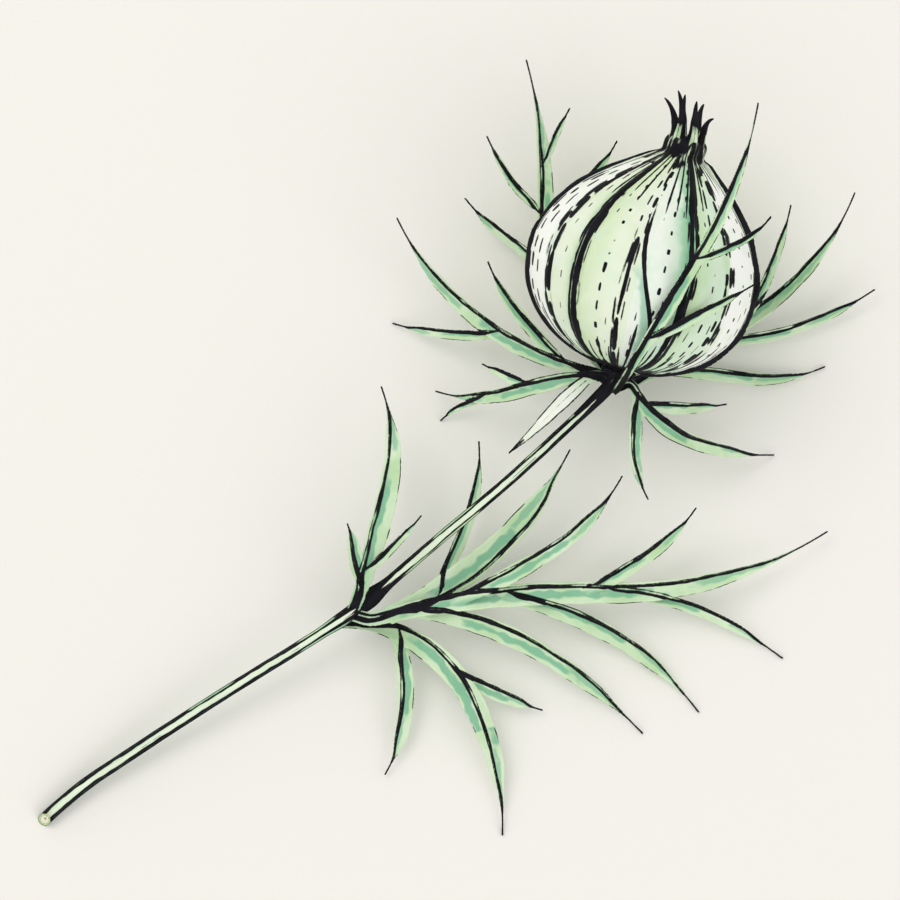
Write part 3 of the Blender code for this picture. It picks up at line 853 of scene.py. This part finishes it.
# ------------------------------------------------------------ the styles
def build_style(number, angle, length, flare, curl, mat):
    cols = 22
    start = 2.3                   # runs down into the beak of its carpel
    length = 0.89 * length
    total = length + start
    rows = int(total / 0.10)
    out = around(angle)
    across = np.cross(out, AXIS)
    root = FOOT + AXIS * (26.4 + GAP - start) + out * 1.42 - (
        LEFT * 0.6)
    verts, ink, tint = [], [], []
    p = root.copy()
    step = total / (rows - 1)
    wander = 5.0 * wave(number * 3.1, 1.0, 2.0)
    for i in range(rows):
        d = i * step
        s = max(0.0, (d - start) / length)
        lean = math.radians(3.0 if d < start else
                            flare + (curl - flare) * s ** 2.2)
        turn = math.radians(CROWN_TURN) * min(1.0, 0.3 + 1.4 * s)
        rise = AXIS * math.cos(turn) + LEFT * math.sin(turn)
        if d < start:
            rise = AXIS
        swerve = math.radians(wander * s * 3.0)
        heading = rise * math.cos(lean) + (
            out * math.cos(swerve) + across * math.sin(swerve)) * math.sin(
                lean)
        face = unit(np.cross(across, heading))
        width = (0.70 - 0.18 * float(smooth(-0.1, 0.25, s if d > start else
                                            (d - start) / length))) * (
            1.0 - 0.50 * float(smooth(0.2, 0.85, s))) * (
            1.0 - 0.72 * s ** 8)
        width *= 1.0 + 0.07 * wave(d * 1.3, number, 4.0)
        width = max(width, 0.05)
        for k in range(cols):
            a = 2.0 * math.pi * k / cols
            groove = 0.16 * math.exp(-((math.cos(a) + 1.0) / 0.16) ** 2)
            keel = 0.08 * math.exp(-((math.cos(a) - 1.0) / 0.12) ** 2)
            crease = 0.05 * math.cos(a * 5.0)
            r = width * (1.0 - groove + keel + crease)
            verts.append(p + face * -math.cos(a) * r * -0.85
                         + across * math.sin(a) * r)
            side = abs(math.sin(a))
            low = 1.0 - float(smooth(0.16, 0.42, s + 0.16 * wave(
                a, d * 0.9, number)))
            seam = (side - 0.62) * 0.9 * width
            stripe = 0.07 - abs(((a / (2 * math.pi) * 5.0) % 1.0) - 0.5) * (
                2 * math.pi * width / 5.0) + 0.05 * wave(d * 0.8, k, number)
            ink.append(max(seam, stripe * 0.7) if low > 0.3 else 0.15)
            green = mix(srgb("#d9e6c6"), srgb("#8fb487"), float(np.clip(
                0.45 + 0.9 * wave(a, d * 0.9, number * 2.0), 0, 1)))
            dusk = mix(srgb("#2b2330"), srgb("#120f17"), float(np.clip(
                0.5 + 0.5 * wave(a * 2.0, d * 2.0, number), 0, 1)))
            tint.append(mix(dusk, green, low))
        p = p + heading * step
    faces = grid_faces(rows, cols)
    n = len(verts)
    verts += [root.copy(), p - heading * step * 0.4]
    ink += [-0.2, 0.15]
    tint += [srgb("#7f9a70"), srgb("#120f17")]
    for c in range(cols):
        d = (c + 1) % cols
        faces.append((n, d, c))
        faces.append((n + 1, (rows - 1) * cols + c, (rows - 1) * cols + d))
    obj = object_from("style_horn_%d" % number, to_row(verts), faces, mat,
                      np.array(tint), ink)
    flip_out(obj)
    return obj


# ------------------------------------------------------------ the stalk
# ridges round the stalk: angle (90 is up), height, dark half width, and how
# much of its length is inked
RIDGES = [(26, 0.08, 0.58, 1.0), (62, 0.04, 0.10, 0.45),
          (97, 0.03, 0.05, 0.15), (122, 0.04, 0.12, 0.6),
          (154, 0.08, 0.62, 1.0), (212, 0.06, 0.16, 0.8),
          (250, 0.05, 0.09, 0.5), (286, 0.06, 0.14, 0.8),
          (328, 0.06, 0.12, 0.7)]


def stalk_radius(s):
    r = STALK_RADIUS + (STALK_RADIUS_TOP - STALK_RADIUS) * s
    r += NODE_SWELL * math.exp(-((s - NODE_AT) / 0.020) ** 2)
    flare = (s - (1.0 - 2.6 / STALK_LENGTH)) * STALK_LENGTH / 2.6
    if flare > 0.0:
        flare = min(flare, 1.0)
        r += (RECEPTACLE_RADIUS - r) * (3 * flare ** 2 - 2 * flare ** 3)
    return r


def build_stalk():
    cols = 132
    keep = [0.0]
    while keep[-1] < 1.0:
        s = keep[-1]
        fine = 0.10 if s > 0.955 else (0.16 if abs(s - NODE_AT) < 0.05
                                       else 0.25)
        keep.append(min(1.0, s + fine / STALK_LENGTH))
    keep = np.array(keep)
    rows = len(keep)
    pts = np.array([stalk_at(s) for s in keep])
    pts[-1] = pts[-2] + AXIS * np.linalg.norm(pts[-1] - pts[-2])
    pts = np.stack([soften(pts[:, k], 20) for k in range(3)], 1)
    tangent = np.gradient(pts, axis=0)
    ang = 360.0 * np.arange(cols) / cols
    rad = np.radians(ang)
    cos_a, sin_a = np.cos(rad), np.sin(rad)
    verts, ink, tint = [], [], []
    for i, s in enumerate(keep):
        t = unit(tangent[i])
        if s > 0.97:
            t = unit(mix(t, AXIS, float(smooth(0.97, 1.0, s))))
        side = unit(np.cross((0.0, 0.0, 1.0), t))
        over = np.cross(t, side)
        r = stalk_radius(s)
        d = s * STALK_LENGTH
        back = (1.0 - s) * STALK_LENGTH
        node = math.exp(-((s - NODE_AT) / 0.02) ** 2)
        twist = 9.0 * wave(d * 0.05, 3.0, 1.0) + 5.0 * wave(d * 0.21, 7.0,
                                                            2.0)
        # it thins away from the knot and the node; its underside stays put
        slim = 0.72 + 0.22 * math.exp(-((s - NODE_AT + 0.022) / 0.045) ** 4)
        slim += 0.20 * (1.0 - float(smooth(2.5, 8.0, back)))
        rr = np.full(cols, r * slim)
        sink = r * (1.0 - slim) * (1.0 - float(smooth(
            NODE_AT - 0.14, NODE_AT - 0.06, s)))
        w = np.full(cols, -0.4)
        slit = np.full(cols, 9.0)
        for n, (a, height, half, share) in enumerate(RIDGES):
            off = (ang - a - twist + 180.0) % 360.0 - 180.0
            dist = np.abs(off) * math.pi / 180.0 * r
            rr = rr + height * np.exp(-(dist / 0.16) ** 2)
            on = 1.0
            if share < 1.0:
                v = 0.5 + 0.9 * wave(d * 0.16, n * 4.1, 6.0) + 0.25 * wave(
                    d * 0.7, n, 2.0)
                on = float(smooth(1.0 - share - 0.10, 1.0 - share + 0.05, v))
            h = half * (1.0 + 0.28 * wave(d * 0.22, n * 2.9, 9.0)
                        + 0.15 * wave(d * 0.9, n * 1.7, 3.0)) * on
            h += 0.10 * (1.0 - float(smooth(0.48, 0.56, s))) * (half > 0.5)
            h += 0.12 * max(0.0, 1.0 - back / 14.0) * (half > 0.08)
            h += 0.42 * max(0.0, 1.0 - back / 8.0) * (on > 0.3 or back < 4.0)
            h += 0.10 * math.exp(-((s - NODE_AT) / 0.07) ** 2) * (half > 0.08)
            h += 0.46 * node + 0.10 * math.exp(-((s - NODE_AT) / 0.035) ** 2)
            w = np.maximum(w, np.where(h > 0.02, h - dist, -0.4))
            if half > 0.5:
                # a sliver of green left open inside the dark edge
                open_by = 0.11 * float(smooth(0.0, 0.16, wave(
                    d * 0.15, n * 5.3, 2.0))) - 0.02
                inner = -13.0 if math.cos(math.radians(a)) < 0 else 13.0
                gap = (ang - a - inner - twist + 180.0) % 360.0 - 180.0
                slit = np.minimum(slit, np.abs(gap) * math.pi / 180.0 * r
                                  - open_by)
        if back > 7.0 and node < 0.2:
            w = np.minimum(w, slit)
        rough = np.array([noise.noise(Vector((c * 2.0, q * 2.0, d * 0.45)))
                          for c, q in zip(cos_a, sin_a)])
        rr = rr + 0.022 * rough
        if back < 2.0:
            # scars of the fallen petals and stamens, in three rows
            row = (back - 0.25) / 0.52
            j = round(row)
            if 0 <= j <= 2:
                place = ang / 360.0 * 15 + 0.5 * (j % 2)
                e = np.hypot((row - j) * 0.52, (place - np.round(place)) * (
                    2 * math.pi * r / 15))
                rr = rr + 0.10 * np.exp(-(e / 0.16) ** 2)
                w = np.maximum(w, 0.13 - e)
            w = np.maximum(w, 0.05 + 0.20 * rough - 0.06 * back)
        cut = max(0.0, 1.0 - d / 2.2)       # slanting cut at the end
        ring = (pts[i] + side * (cos_a * rr)[:, None]
                + over * (sin_a * rr)[:, None]
                + t * (0.75 * sin_a * cut)[:, None]) - (0.0, 0.0, sink)
        ring[:, 2] = np.maximum(ring[:, 2], 0.03 - SHIFT[2])
        verts.append(ring)
        ink.append(w)
        f = np.array([0.45 + 0.9 * noise.noise(Vector((c + 3.0, q, d * 0.08)))
                      for c, q in zip(cos_a, sin_a)])
        colour = mix(srgb("#c3deaa"), srgb("#8cc093"), np.clip(f, 0.0, 1.0))
        # painted highlight: a pale band along the top of the stalk, facing the light
        pale = np.exp(-((ang - 92.0 - twist) / 40.0) ** 2)
        colour = mix(colour, srgb("#eef4e2"), 0.86 * pale)
        # painted shade: darker blue green down the sides and underside of the stalk,
        # away from the light
        colour = mix(colour, srgb("#5fa283"), 0.55 * (1.0 - smooth(
            -0.1, 0.75, sin_a)))
        teal = float(smooth(0.05, 0.25, wave(d * 0.11, 2.0, 6.0)))
        colour = mix(colour, srgb("#6fb292"), 0.45 * teal * (1.0 - pale))
        colour = mix(colour, srgb("#8fae6a"), 0.4 * node)
        if back < 3.2:
            colour = mix(colour, srgb("#4c6148"), 0.70 * (1.0 - back / 3.2))
        if d < 1.2:
            colour = mix(colour, srgb("#9a8f62"), 0.5 * (1.0 - d / 1.2))
        tint.append(colour)
    verts = list(np.concatenate(verts))
    ink = list(np.concatenate(ink))
    tint = list(np.concatenate(tint))
    faces = grid_faces(rows, cols)
    # cut end: rind, a ring of strands, and a sunken pale pith
    base = len(verts)
    first = np.array(verts[:cols])
    mid = first.mean(0)
    t0 = unit(tangent[0])
    rings = [(0.93, 0.02, "#6f9a62"), (0.84, 0.05, "#d9e3b9"),
             (0.70, 0.04, "#c2d29c"), (0.58, 0.07, "#e9eccd"),
             (0.38, 0.10, "#f1f1dc"), (0.22, 0.14, "#e6e6c6"),
             (0.15, 0.40, "#8d9a6b")]
    for scale, sink, code in rings:
        for k in range(cols):
            n = 0.03 * wave(k * 0.4, scale * 9.0, 1.0)
            verts.append(mid + (first[k] - mid) * (scale + n)
                         + t0 * (sink + 0.02 * wave(k * 0.7, scale * 5, 3)))
            strand = 0.5 + 0.5 * math.cos(2 * math.pi * k / cols * 9)
            c = srgb(code)
            if scale == 0.70:
                c = mix(c, srgb("#6f8a4a"), 0.8 * (strand > 0.62))
            tint.append(c)
            ink.append(-0.4)
    prev = 0
    for j in range(len(rings)):
        cur = base + j * cols
        for c in range(cols):
            d = (c + 1) % cols
            a = (prev if j else 0)
            faces.append((a + d, a + c, cur + c, cur + d))
        prev = cur
    verts.append(mid + t0 * 0.45)
    tint.append(srgb("#6f7a50"))
    ink.append(-0.4)
    pole = len(verts) - 1
    for c in range(cols):
        faces.append((prev + (c + 1) % cols, prev + c, pole))
    verts.append(pts[-1] + AXIS * 0.05)
    tint.append(srgb("#4b5a3c"))
    ink.append(-0.4)
    pole = len(verts) - 1
    lastrow = (rows - 1) * cols
    for c in range(cols):
        faces.append((lastrow + c, lastrow + (c + 1) % cols, pole))
    mat = plant_material("stalk_rind", rough=0.50, subsurface=0.08,
                         radius=0.0008, grain=1700.0, grain_depth=0.00004,
                         mottling=0.14)
    obj = object_from("stalk_rind", to_row(verts), faces, mat,
                      np.array(tint), ink)
    flip_out(obj)
    obj.data.set_sharp_from_angle(angle=math.radians(55.0))
    return obj


# ------------------------------------------------------------ the leaves
SAMPLE = 0.2
# the side of the blade that the dark nerve keeps to, seen from above
# It points towards the key light; the blue green washes of painted shade lie on the
# other side of each blade.
NERVE_SIDE = np.array([math.sin(math.radians(48.4)) - 0.35 * math.cos(
    math.radians(48.4)), math.cos(math.radians(48.4)) + 0.35 * math.sin(
        math.radians(48.4)), 0.0])


def ribbon_samples(thread, lead, gain, number, root, lean, source=None,
                   bold=1.0, plain_tip=False):
    """Even samples along a thread: place, frame, half width and the run of its dark
    nerve.
    lead is a run of points that joins the thread to the stalk."""
    pts = thread.points
    s_pts = thread.s
    base = 0.62 if root else 0.66
    env = (base + (1.0 - base) * smooth(0.0, 0.34, s_pts)) * (
        1.0 - 0.55 * s_pts ** 2.0) * (1.0 - 0.86 * smooth(0.70, 0.95, s_pts))
    if plain_tip:
        env = (base + (1.0 - base) * smooth(0.0, 0.34, s_pts)) * (
            1.0 - 0.92 * s_pts ** 2.0)
    w = thread.root_width * gain * env
    if lead is not None:
        pts = np.concatenate([lead, pts])
        wl = thread.root_width * gain * np.linspace(0.50, base, len(lead))
        w = np.concatenate([wl, w])
        s_pts = np.concatenate([np.full(len(lead), 0.0), s_pts])
    run = np.concatenate([[0.0], np.cumsum(np.linalg.norm(np.diff(
        pts, axis=0), axis=1))])
    count = int(run[-1] / SAMPLE) + 2
    at = np.linspace(0.0, run[-1], count)
    p = np.stack([np.interp(at, run, pts[:, k]) for k in range(3)], 1)
    p = np.stack([soften(p[:, k], 14) for k in range(3)], 1)
    w = np.interp(at, run, w)
    s = np.interp(at, run, s_pts)
    w = w * (1.0 + 0.09 * np.array([wave(x * 0.42, number * 5.0, 1.5)
                                    for x in at]))
    tangent = np.gradient(p, axis=0)
    tangent /= np.linalg.norm(tangent, axis=1)[:, None]
    up = np.array([0.0, 0.0, 1.0])
    side = np.cross(up, tangent)
    side /= np.linalg.norm(side, axis=1)[:, None]
    over = np.cross(tangent, side)
    roll = np.radians(np.array([30.0 * wave(x * 0.055, number * 7.7, 8.0)
                                for x in at]))
    roll = roll * smooth(0.0, 4.0, at)
    c, q = np.cos(roll)[:, None], np.sin(roll)[:, None]
    side, over = side * c + over * q, over * c - side * q
    half = 0.5 * w
    keep = np.clip((side @ NERVE_SIDE) * 1.8, -1.0, 1.0) * lean
    drift = 0.60 * half * keep * smooth(0.0, 0.12, s) * (
        1.0 - smooth(0.78, 0.90, s))
    drift = drift + 0.12 * half * np.array([wave(x * 0.2, number * 2.0, 3.0)
                                            for x in at])
    if source is not None:
        # the nerve branches off its parent's nerve
        parent, where = source
        j = int(np.argmin(np.abs(parent["s"] - where)))
        off = (parent["p"][j] + parent["side"][j] * parent["drift"][j]
               - p[0]) @ side[0]
        fade = smooth(0.0, 3.2, at)
        drift = off * (1.0 - fade) + drift * fade
    press = bold * np.array([1.0 + 0.44 * wave(x * 0.17, number * 3.3, 5.0)
                      + 0.20 * wave(x * 0.8, number * 1.1, 6.0) for x in at])
    vein = (0.345 - 0.19 * s) * press * (1.0 - 0.4 * smooth(0.85, 1.0, s))
    if root:
        vein = vein + 0.08 * np.exp(-(at / 3.0) ** 2)
    vein = np.clip(vein, 0.11, 0.46)
    if not root:
        vein = vein * (0.40 + 0.60 * smooth(0.0, 1.8, at))
    gaps = np.array([wave(x * 0.24, number * 4.3, 7.0) for x in at])
    return dict(gaps=gaps, p=p, t=tangent, side=side, over=over, half=half, s=s, at=at,
                length=run[-1], drift=drift, vein=vein, keep=keep,
                number=number)


def ribbon_section(half, thick):
    """A channelled blade: margins raised, a keel below."""
    xs = np.cos(np.linspace(0.0, math.pi, 9))
    bend = 0.30 * half
    top, low = [], []
    for x in xs:
        m = bend * (x * x - 0.45)
        t = thick * math.sqrt(max(0.0, 1.0 - x ** 4)) + 0.02
        keel = 0.35 * thick * math.exp(-(x / 0.3) ** 2)
        top.append((x * half, m + 0.5 * t))
        low.append((x * half, m - 0.5 * t - keel))
    return top + low[-2:0:-1]


def skin_over(name, samples, voxel):
    verts, faces = [], []
    for r in samples:
        rows = []
        for i in range(len(r["p"])):
            half = max(r["half"][i], 0.12)
            thick = max(0.40 * half, 0.23)
            rows.append([r["p"][i] + r["side"][i] * x + r["over"][i] * y
                         for x, y in ribbon_section(half, thick)])
        cols = len(rows[0])
        base = len(verts)
        for row in rows:
            verts += row
        faces += [tuple(base + q for q in f)
                  for f in grid_faces(len(rows), cols)]
        faces.append(tuple(base + c for c in range(cols))[::-1])
        faces.append(tuple(base + (len(rows) - 1) * cols + c
                           for c in range(cols)))
    mesh = bpy.data.meshes.new(name + "_raw")
    mesh.from_pydata([tuple(v) for v in verts], [], faces)
    raw = bpy.data.objects.new(name + "_raw", mesh)
    bpy.context.scene.collection.objects.link(raw)
    flip_out(raw)
    remesh = raw.modifiers.new("skin", 'REMESH')
    remesh.mode = 'VOXEL'
    remesh.voxel_size = voxel
    remesh.adaptivity = 0.0
    ease = raw.modifiers.new("ease", 'SMOOTH')
    ease.factor = 0.5
    ease.iterations = 3
    graph = bpy.context.evaluated_depsgraph_get()
    skin = bpy.data.meshes.new_from_object(raw.evaluated_get(graph))
    bpy.data.objects.remove(raw, do_unlink=True)
    return skin


def build_leaf(name, threads, lead, mat, knot, leans=None, pale=(),
               voxel=0.115, gain=1.42, forks=(), wide=None, bold=1.0,
               dusk=3.6):
    seed = sum(ord(c) * (i + 1) for i, c in enumerate(name)) % 17
    samples = []
    for k, thread in enumerate(threads):
        source = None
        if k > 0:
            source = (samples[forks[k - 1][0]], forks[k - 1][1])
        samples.append(ribbon_samples(
            thread, lead if k == 0 else None,
            1.42 if k in pale else gain * (wide or {}).get(k, 1.0),
            k + seed, k == 0, (leans or {}).get(k, 1.0), source, bold,
            k in pale))
    skin = skin_over(name, samples, voxel)
    co = np.zeros(len(skin.vertices) * 3)
    skin.vertices.foreach_get("co", co)
    co = co.reshape(-1, 3)
    count = len(co)
    total = len(samples)
    reach = np.full((total, count), 9.0)
    tints = np.zeros((total, count, 3))
    ink = np.full(count, -0.4)
    rims = np.full((total, count), -0.4)
    lift = np.zeros((count, 3))
    near_knot = np.exp(-(np.linalg.norm(co - knot, axis=1) / dusk) ** 2)
    grain = np.array([noise.noise(Vector(p * 0.9)) for p in co])
    broad = np.array([noise.noise(Vector(p * 0.28 + seed)) for p in co])
    for k, r in enumerate(samples):
        P = r["p"]
        sq = (P ** 2).sum(1)
        index = np.zeros(count, int)
        for a in range(0, count, 20000):
            c = co[a:a + 20000]
            index[a:a + 20000] = (sq[None, :] - 2.0 * c @ P.T).argmin(1)
        d = co - P[index]
        x = (d * r["side"][index]).sum(1)
        y = (d * r["over"][index]).sum(1)
        along = (d * r["t"][index]).sum(1)
        past = np.maximum(0.0, np.abs(along) - 0.15)
        half = np.maximum(r["half"][index], 0.12)
        s, at = r["s"][index], r["at"][index]
        drift, vein, keep = (r["drift"][index], r["vein"][index],
                             r["keep"][index])
        upper = y > -0.1 * half
        reach[k] = np.sqrt((x / half) ** 2 + (y / half) ** 2) + past * 3.0
        inside = np.where(np.abs(x) < half * 1.3, 0.0, -0.3) - 1.1 * past
        vein = vein + 0.20 * near_knot
        if k in pale:
            # a broad pale lobe: dark along both margins
            rim = 0.15 + 0.03 * grain - np.abs(half * 0.93 - np.abs(x))
            line = np.maximum(rim, 0.05 - np.abs(x) - 0.10 * (s - 0.25))
            line = np.where(s > 0.82, np.maximum(line, 0.1 - np.abs(x)), line)
            line = np.where(s > 0.06, line, -0.3)
        else:
            line = vein - np.abs(x - drift)
            # slivers left open inside the thick parts of the nerve
            open_by = 0.085 * smooth(0.0, 0.25, np.interp(
                at, r["at"], r["gaps"])) * smooth(0.20, 0.27, vein) - 0.02
            line = np.minimum(line, np.abs(x - drift - 0.30 * vein * np.sign(
                keep + 1e-6)) - open_by)
            other = -np.sign(keep + 1e-6)
            rim_on = smooth(0.02, 0.22, broad + 0.3 * grain)
            rim = 0.085 * rim_on - np.abs(x - other * half * 0.93) * 1.0
            rims[k] = np.where((rim_on > 0.05) & upper, rim + inside, -0.4)
        line = np.where(upper, line, line - 0.05)
        left = r["length"] - at
        tip = 0.30 - left * 0.14 - np.abs(x - drift)
        ink = np.maximum(ink, np.maximum(line, tip) + inside)
        # washes: a pale spring green, with strokes of blue green laid over it on the
        # side of the blade away from the key light; the strokes are partly the blade's
        # own colour and partly painted shade
        base = mix(srgb("#d6e9ca"), srgb("#c0ddb0"),
                   np.clip(0.5 + 1.1 * broad + 0.4 * grain, 0.0, 1.0))
        e = (x - drift) / half
        shade_side = -e * np.sign(keep + 1e-6)     # towards the side without nerve
        shade_stroke = np.zeros(count)
        for j in range(2):
            a0 = (0.04, 0.56)[j] + 0.16 * chance(k, seed + 11 * j)
            a1 = a0 + (0.34, 0.20)[j] + 0.18 * chance(k, seed + 3 + 11 * j)
            lane = 0.55 + 0.55 * (chance(k, seed + 7 + 11 * j) - 0.5)
            one = (1.0 - smooth(0.24, 0.42, np.abs(shade_side - lane)
                                + 0.30 * grain)) * smooth(
                a0 - 0.03, a0 + 0.03, s + 0.05 * grain) * (
                1.0 - smooth(a1 - 0.04, a1 + 0.04, s + 0.08 * grain))
            shade_stroke = np.maximum(shade_stroke, one * (1.0, 0.8)[j])
        # painted shade: a blue green band on the side of the blade away from the key
        # light
        shade = np.exp(-((shade_side - 0.05) / 0.26) ** 2) * smooth(
            -0.15, 0.25, broad + 0.3 * grain)
        body = mix(base, srgb("#78b794"), 0.85 * np.clip(shade_stroke, 0, 1))
        body = mix(body, srgb("#8cc298"), 0.50 * np.clip(shade, 0, 1))
        # painted rim light: paler margins along both edges of the blade
        body = mix(body, srgb("#e0efc4"), 0.40 * smooth(
            0.70, 1.0, np.abs(x) / half) * (grain > -0.2))
        if k in pale:
            body = mix(srgb("#f3f5ea"), srgb("#cfe5c4"), 0.6 * smooth(
                0.35, 0.0, s) + 0.25 * smooth(0.0, 0.3, broad))
        body = np.where(upper[:, None], body, mix(body, srgb("#9cc3a2"),
                                                  0.45))
        body = mix(body, srgb("#5d9777"), 0.50 * near_knot)
        body = mix(body, srgb("#3f6650"), 0.45 * smooth(0.86, 1.0, s))
        tints[k] = body
        own = np.where((reach[k] < 1.6) & upper, 1.0, 0.0)
        lift = lift - r["over"][index] * (own * 0.05 * np.exp(
            -((x - drift) / 0.15) ** 2) * np.minimum(1.0, half / 0.5))[
                :, None]
    for k in range(total):
        others = np.delete(reach, k, 0)
        clear = others.min(0) > 1.45 if total > 1 else True
        ink = np.maximum(ink, np.where(clear, rims[k], -0.4))
    weight = np.exp(-7.0 * (reach - reach.min(0)))
    weight /= weight.sum(0)
    tint = (tints * weight[:, :, None]).sum(0)
    co = co + lift
    laid = to_row(co)
    laid[:, 2] = np.maximum(laid[:, 2], 0.00003)
    skin.vertices.foreach_set("co", laid.ravel())
    skin.name = name + "_blade"
    set_float(skin, "ink", ink)
    set_tint(skin, tint)
    skin.materials.clear()
    skin.materials.append(mat)
    skin.shade_smooth()
    skin.update()
    obj = bpy.data.objects.new(name + "_blade", skin)
    bpy.context.scene.collection.objects.link(obj)
    return obj


def lead_in(anchor, along, root, first, count=10):
    """A curve that leaves the stalk's skin and runs into the root."""
    pts = []
    d0, d1 = along, unit(first - root)
    reach = np.linalg.norm(root - anchor)
    for u in np.linspace(0.0, 1.0, count, endpoint=False):
        h00 = 2 * u ** 3 - 3 * u ** 2 + 1
        h10 = u ** 3 - 2 * u ** 2 + u
        h01 = -2 * u ** 3 + 3 * u ** 2
        h11 = u ** 3 - u ** 2
        pts.append(h00 * anchor + h10 * d0 * reach + h01 * root
                   + h11 * d1 * reach)
    return np.array(pts)


def build():
    pieces = []
    pieces.append((build_capsule(), "seed_capsule", "capsule"))
    pieces.append((build_stalk(), "stem", "stalk"))
    horn = plant_material("style_horn", rough=0.55, subsurface=0.0,
                          grain=2400.0, grain_depth=0.00003, mottling=0.2,
                          ink_soft=(-0.02, 0.05))
    for k, (angle, length, flare, curl) in enumerate(STYLES):
        pieces.append((build_style(k + 1, angle, length, flare, curl, horn),
                       "style_%d" % (k + 1), "style"))
    blade = plant_material("leaf_blade", rough=0.50, subsurface=0.10,
                           radius=0.0006, grain=1500.0, grain_depth=0.00003,
                           mottling=0.14)
    frill = plant_material("bract_blade", rough=0.50, subsurface=0.10,
                           radius=0.0006, grain=1500.0, grain_depth=0.00003,
                           mottling=0.14)
    for name, b in BRACTS.items():
        out = around(b["angle"])
        root = TOP - AXIS * b["back"] + out * 2.4
        threads = make_threads(root, b["trunk"], b["forks"], FOOT,
                               b["width"], b["side"])
        anchor = TOP - AXIS * (b["back"] + 0.9) + out * 0.7
        lead = lead_in(anchor, unit(AXIS * 0.6 + out), root,
                       threads[0].points[3], 8)
        obj = build_leaf(name, threads, lead, frill, TOP,
                         pale=(3,) if name == "bract_2" else (),
                         gain=1.0 if name == "bract_5" else 1.28,
                         wide={0: 1.12, 4: 1.45} if name == "bract_6"
                         else None,
                         bold=1.6 if name == "bract_5" else 1.0,
                         dusk=7.0 if name == "bract_5" else 3.8,
                         forks=b["forks"])
        pieces.append((obj, name, "bract"))
    for name, b in LEAVES.items():
        where = NODE_AT + b["at"]
        p, q = stalk_at(where), stalk_at(where + 0.01)
        t = unit(q - p)
        left = unit(np.cross((0.0, 0.0, 1.0), t))
        up = np.cross(t, left)
        a = math.radians(b["angle"])
        out = up * math.cos(a) + left * math.sin(a)
        root = p + out * (STALK_RADIUS + NODE_SWELL + GAP + 0.5 * b["width"])
        threads = make_threads(root, b["trunk"], b["forks"], FOOT,
                               b["width"], 0)
        anchor = stalk_at(where - 0.022) + out * 0.25
        lead = lead_in(anchor, unit(t + 0.9 * out), root,
                       threads[0].points[4], 10)
        obj = build_leaf(name, threads, lead, blade, stalk_at(NODE_AT),
                         leans={6: -1.0} if name == "leaf_1" else None,
                         forks=b["forks"], wide={
                             "leaf_1": {0: 1.05, 1: 1.08, 4: 1.1, 5: 1.15,
                                        6: 1.4, 7: 0.9},
                             "leaf_2": {0: 1.15, 2: 1.1},
                             "leaf_3": {0: 1.15, 2: 0.62}}[name])
        pieces.append((obj, name, "leaf"))
    for obj, node, slot in pieces:
        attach(obj, "root")
        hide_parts(node)


build()

# ------------------------------------------------------------ stage
mat, nodes, links = new_material("table_top")
shader = nodes["Principled BSDF"]
shader.inputs["Base Color"].default_value = (*srgb("#f1eee7"), 1.0)
shader.inputs["Roughness"].default_value = 0.9
shader.inputs["Specular IOR Level"].default_value = 0.1
bpy.ops.mesh.primitive_plane_add(size=6.0, location=(0, 0, 0))
floor = bpy.context.object
floor.name = "table_top"
floor.data.materials.append(mat)


def area(name, where, target, size, power, colour=(1, 1, 1)):
    data = bpy.data.lights.new(name, 'AREA')
    data.shape = 'DISK'
    data.size = size
    data.energy = power
    data.color = colour
    obj = bpy.data.objects.new(name, data)
    obj.location = where
    aim = Vector(target) - Vector(where)
    obj.rotation_euler = aim.to_track_quat('-Z', 'Y').to_euler()
    bpy.context.scene.collection.objects.link(obj)
    return obj


# the camera's up direction lies 48.4 degrees to the left of +X
VIEW_TURN = math.radians(48.4)


def plan_dir(u, v):
    c, s = math.cos(VIEW_TURN), math.sin(VIEW_TURN)
    return Vector((u * c + v * s, -u * s + v * c, 0.0))


key = plan_dir(-0.55, 0.62)
area("key", (key.x, key.y, 1.15), (0, 0, 0.01), 0.80, 4.3, (1.0, 0.985, 0.965))
fill = plan_dir(0.9, -0.5)
area("fill", (fill.x, fill.y, 0.8), (0, 0, 0.01), 0.8, 2.1,
     (0.95, 0.98, 1.0))
world = bpy.data.worlds.new("studio")
bpy.context.scene.world = world
world.use_nodes = True
world.node_tree.nodes["Background"].inputs[0].default_value = (1, 1, 1, 1)
world.node_tree.nodes["Background"].inputs[1].default_value = 0.82

# ------------------------------------------------------------ camera
cam_data = bpy.data.cameras.new("camera")
cam_data.lens = 500.0
cam_data.sensor_width = 36.0
cam = bpy.data.objects.new("camera", cam_data)
bpy.context.scene.collection.objects.link(cam)
SPAN = 0.0995
middle = plan_dir(-0.0045, 0.0106)
height = SPAN * 500.0 / 36.0
cam.location = (middle.x, middle.y, height + 0.010)
cam.rotation_euler = (0.0, 0.0, -VIEW_TURN)
bpy.context.scene.camera = cam
bpy.context.scene.view_settings.view_transform = 'Standard'
